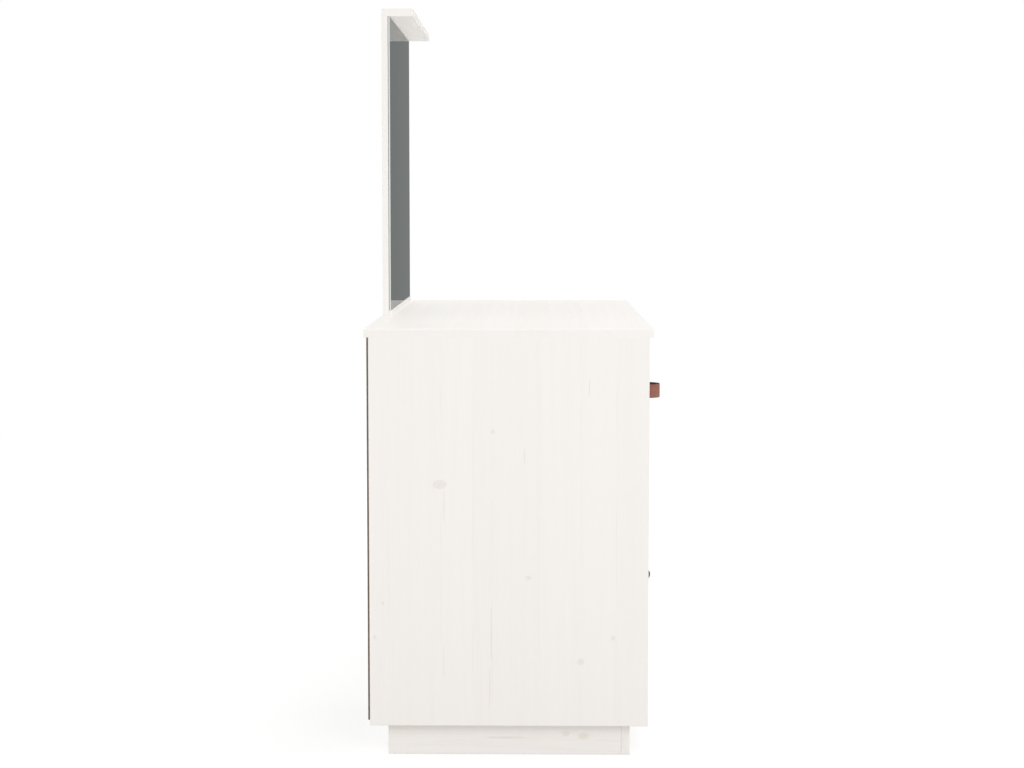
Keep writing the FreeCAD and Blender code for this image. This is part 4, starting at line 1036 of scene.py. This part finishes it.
SCREW_NODES = {
    "carcass": ["back_board_screws", "cabinet_runner_screws", "catch_screws", "plinth_screws",
                "mirror_screws"],
    "drawer": ["drawer_back_screws", "drawer_bottom_screws", "drawer_runner_screws", "handle_screws"],
    "door": ["knob_screw", "catch_plate_screw"],
}
screws = {node: [measure_screw(points) for points in solids_of(node)]
          for nodes in SCREW_NODES.values() for node in nodes}
print("screws:", {node: len(rows) for node, rows in screws.items()})

# %% [markdown]
# A pan head is a flattened dome on the surface, made from the upper half of a sphere. A countersunk
# head is a cone in the surface. Either one is joined to a slightly tapered shank, and two crossed bars
# are cut out of it for the recess. Its thread is left out, because it is always inside the wood.

# %% The screw's shape
HEAD_SIDES = 28
DOME_RINGS = 14
DOME_POWER = 0.55
SINK_DEPTH = 0.0024
SHANK_SIDES = 16
SHANK_TAPER = 0.7
SHANK_START = 0.0002
RECESS_SHARE = 0.62
RECESS_WIDTH_SHARE = 0.17


def screw_blank(head, crown, shank, length, countersunk):
    """Wire of a screw along Z, with its head's rim at height 0 and no recess yet."""
    place = head.node("GeometryNodeInputPosition")
    height = place.axis("Z") / head
    lift = height.math("MAXIMUM", height, 0.0) ** DOME_POWER * crown
    dome = head.node("GeometryNodeMeshUVSphere", None,
                     {"Segments": HEAD_SIDES, "Rings": DOME_RINGS, "Radius": head})
    dome = head.node("GeometryNodeSetPosition", None, {
        "Geometry": dome, "Position": head.point(place.axis("X"), place.axis("Y"), lift)})
    sink = head.node("GeometryNodeMeshCone", None, {
        "Vertices": HEAD_SIDES, "Radius Bottom": shank, "Radius Top": head, "Depth": SINK_DEPTH})
    sink = head.node("GeometryNodeTransform", None, {"Geometry": sink, "Translation": (0, 0, -SINK_DEPTH)})
    top = head.node("GeometryNodeSwitch", {"input_type": "GEOMETRY"}, {
        "Switch": countersunk, "False": dome, "True": sink})
    tip = shank * SHANK_TAPER
    pin = head.node("GeometryNodeMeshCone", None, {
        "Vertices": SHANK_SIDES, "Radius Top": shank, "Radius Bottom": tip, "Depth": length})
    pin = head.node("GeometryNodeTransform", None, {
        "Geometry": pin, "Translation": head.point(0.0, 0.0, -SHANK_START - length)})
    return head.node("GeometryNodeMeshBoolean", {"operation": "UNION", "solver": "EXACT"},
                     {"Mesh": [top, pin]})


def cut_recess(blank, head, crown, depth):
    """Wire of the screw with two crossed bars cut out of its head."""
    arm, width = head * RECESS_SHARE * 2, head * RECESS_WIDTH_SHARE * 2
    bars = []
    for x, y in ((arm, width), (width, arm)):
        bar = head.node("GeometryNodeMeshCube", None, {"Size": head.point(x, y, 2 * depth)})
        bars.append(head.node("GeometryNodeTransform", None, {
            "Geometry": bar, "Translation": head.point(0.0, 0.0, crown)}))
    return head.node("GeometryNodeMeshBoolean", {"operation": "DIFFERENCE", "solver": "EXACT"},
                     {"Mesh 1": blank, "Mesh 2": bars})


print("recess:", RECESS_SHARE, "of the head's radius")

# %% The screw tree
SCREW_INPUTS = {"Head Radius": "head", "Crown": "crown", "Shank Radius": "shank", "Length": "length",
                "Recess Depth": "recess"}
TURN_SEED = 5


def screw_tree():
    """Node tree that sets a cross-headed screw on every point, facing along its out attribute."""
    tree = bpy.data.node_groups.new("cross_headed_screws", "GeometryNodeTree")
    tree.interface.new_socket("Geometry", in_out="INPUT", socket_type="NodeSocketGeometry")
    for name in SCREW_INPUTS:
        tree.interface.new_socket(name, in_out="INPUT", socket_type="NodeSocketFloat")
    tree.interface.new_socket("Countersunk", in_out="INPUT", socket_type="NodeSocketBool")
    tree.interface.new_socket("Finish", in_out="INPUT", socket_type="NodeSocketMaterial")
    tree.interface.new_socket("Geometry", in_out="OUTPUT", socket_type="NodeSocketGeometry")
    group = tree.nodes.new("NodeGroupInput")
    given = {socket.name: Wire(tree, socket) for socket in group.outputs if socket.name}
    start, head, crown = given["Geometry"], given["Head Radius"], given["Crown"]
    blank = screw_blank(head, crown, given["Shank Radius"], given["Length"], given["Countersunk"])
    screw = cut_recess(blank, head, crown, given["Recess Depth"])
    out = start.node("GeometryNodeInputNamedAttribute", {"data_type": "FLOAT_VECTOR"}, {"Name": "out"})
    facing = start.node("FunctionNodeAlignRotationToVector", {"axis": "Z"}, {"Vector": out})
    turn = start.node("FunctionNodeRandomValue", {"data_type": "FLOAT"},
                      {"Min": 0.0, "Max": math.pi / 2, "Seed": TURN_SEED}, "Value")
    twist = start.node("FunctionNodeAxisAngleToRotation", None, {"Axis": (0, 0, 1), "Angle": turn})
    facing = start.node("FunctionNodeRotateRotation", {"rotation_space": "LOCAL"},
                        {"Rotation": facing, "Rotate By": twist})
    placed = start.node("GeometryNodeInstanceOnPoints", None,
                        {"Points": start, "Instance": screw, "Rotation": facing})
    placed = start.node("GeometryNodeRealizeInstances", None, {"Geometry": placed})
    placed = start.node("GeometryNodeSetMaterial", None, {"Geometry": placed, "Material": given["Finish"]})
    end = tree.nodes.new("NodeGroupOutput")
    start.feed(end.inputs["Geometry"], placed)
    return tree


tree = screw_tree()
print("screw tree:", len(tree.nodes), "nodes")

# %% [markdown]
# Each group of screws starts as a mesh of bare points with the tree as its modifier. The result is
# kept as a plain mesh and the modifier goes, because a plain mesh moves with its body.

# %% Screws in their places
SCREW_CREASE = math.radians(40)


def set_screws(node, body, finish):
    """A plain mesh of finished screws in the places of a node's screws."""
    rows = screws[node]
    holder = mesh_object(f"finished_{node}", [row["seat"] for row in rows], [])
    out = holder.data.attributes.new("out", "FLOAT_VECTOR", "POINT")
    for index, row in enumerate(rows):
        out.data[index].vector = row["out"]
    modifier = holder.modifiers.new("screws", "NODES")
    modifier.node_group = tree
    items = tree.interface.items_tree
    identifiers = {item.name: item.identifier for item in items if item.in_out == "INPUT"}
    for name, key in SCREW_INPUTS.items():
        modifier[identifiers[name]] = rows[0][key]
    modifier[identifiers["Countersunk"]] = rows[0]["crown"] == 0
    modifier[identifiers["Finish"]] = finish
    bpy.context.view_layer.update()
    evaluated = holder.evaluated_get(bpy.context.evaluated_depsgraph_get())
    plain = bpy.data.meshes.new_from_object(evaluated)
    holder.modifiers.remove(modifier)
    holder.data = plain
    plain.shade_smooth()
    plain.set_sharp_from_angle(angle=SCREW_CREASE)
    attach(holder, body)
    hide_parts(node)
    "handle_screw" if node == "handle_screws" else "zinc_steel"
    dressed.add(node)
    return len(plain.polygons)


faces = {}
for body, nodes in SCREW_NODES.items():
    for node in nodes:
        faces[node] = set_screws(node, body, old_brass if node == "handle_screws" else zinc)
print("faces of finished screws:", faces)
print("nodes without a finish:", sorted(set(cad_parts) - dressed))

# %% [markdown]
# ## A finish must not change the table's size.
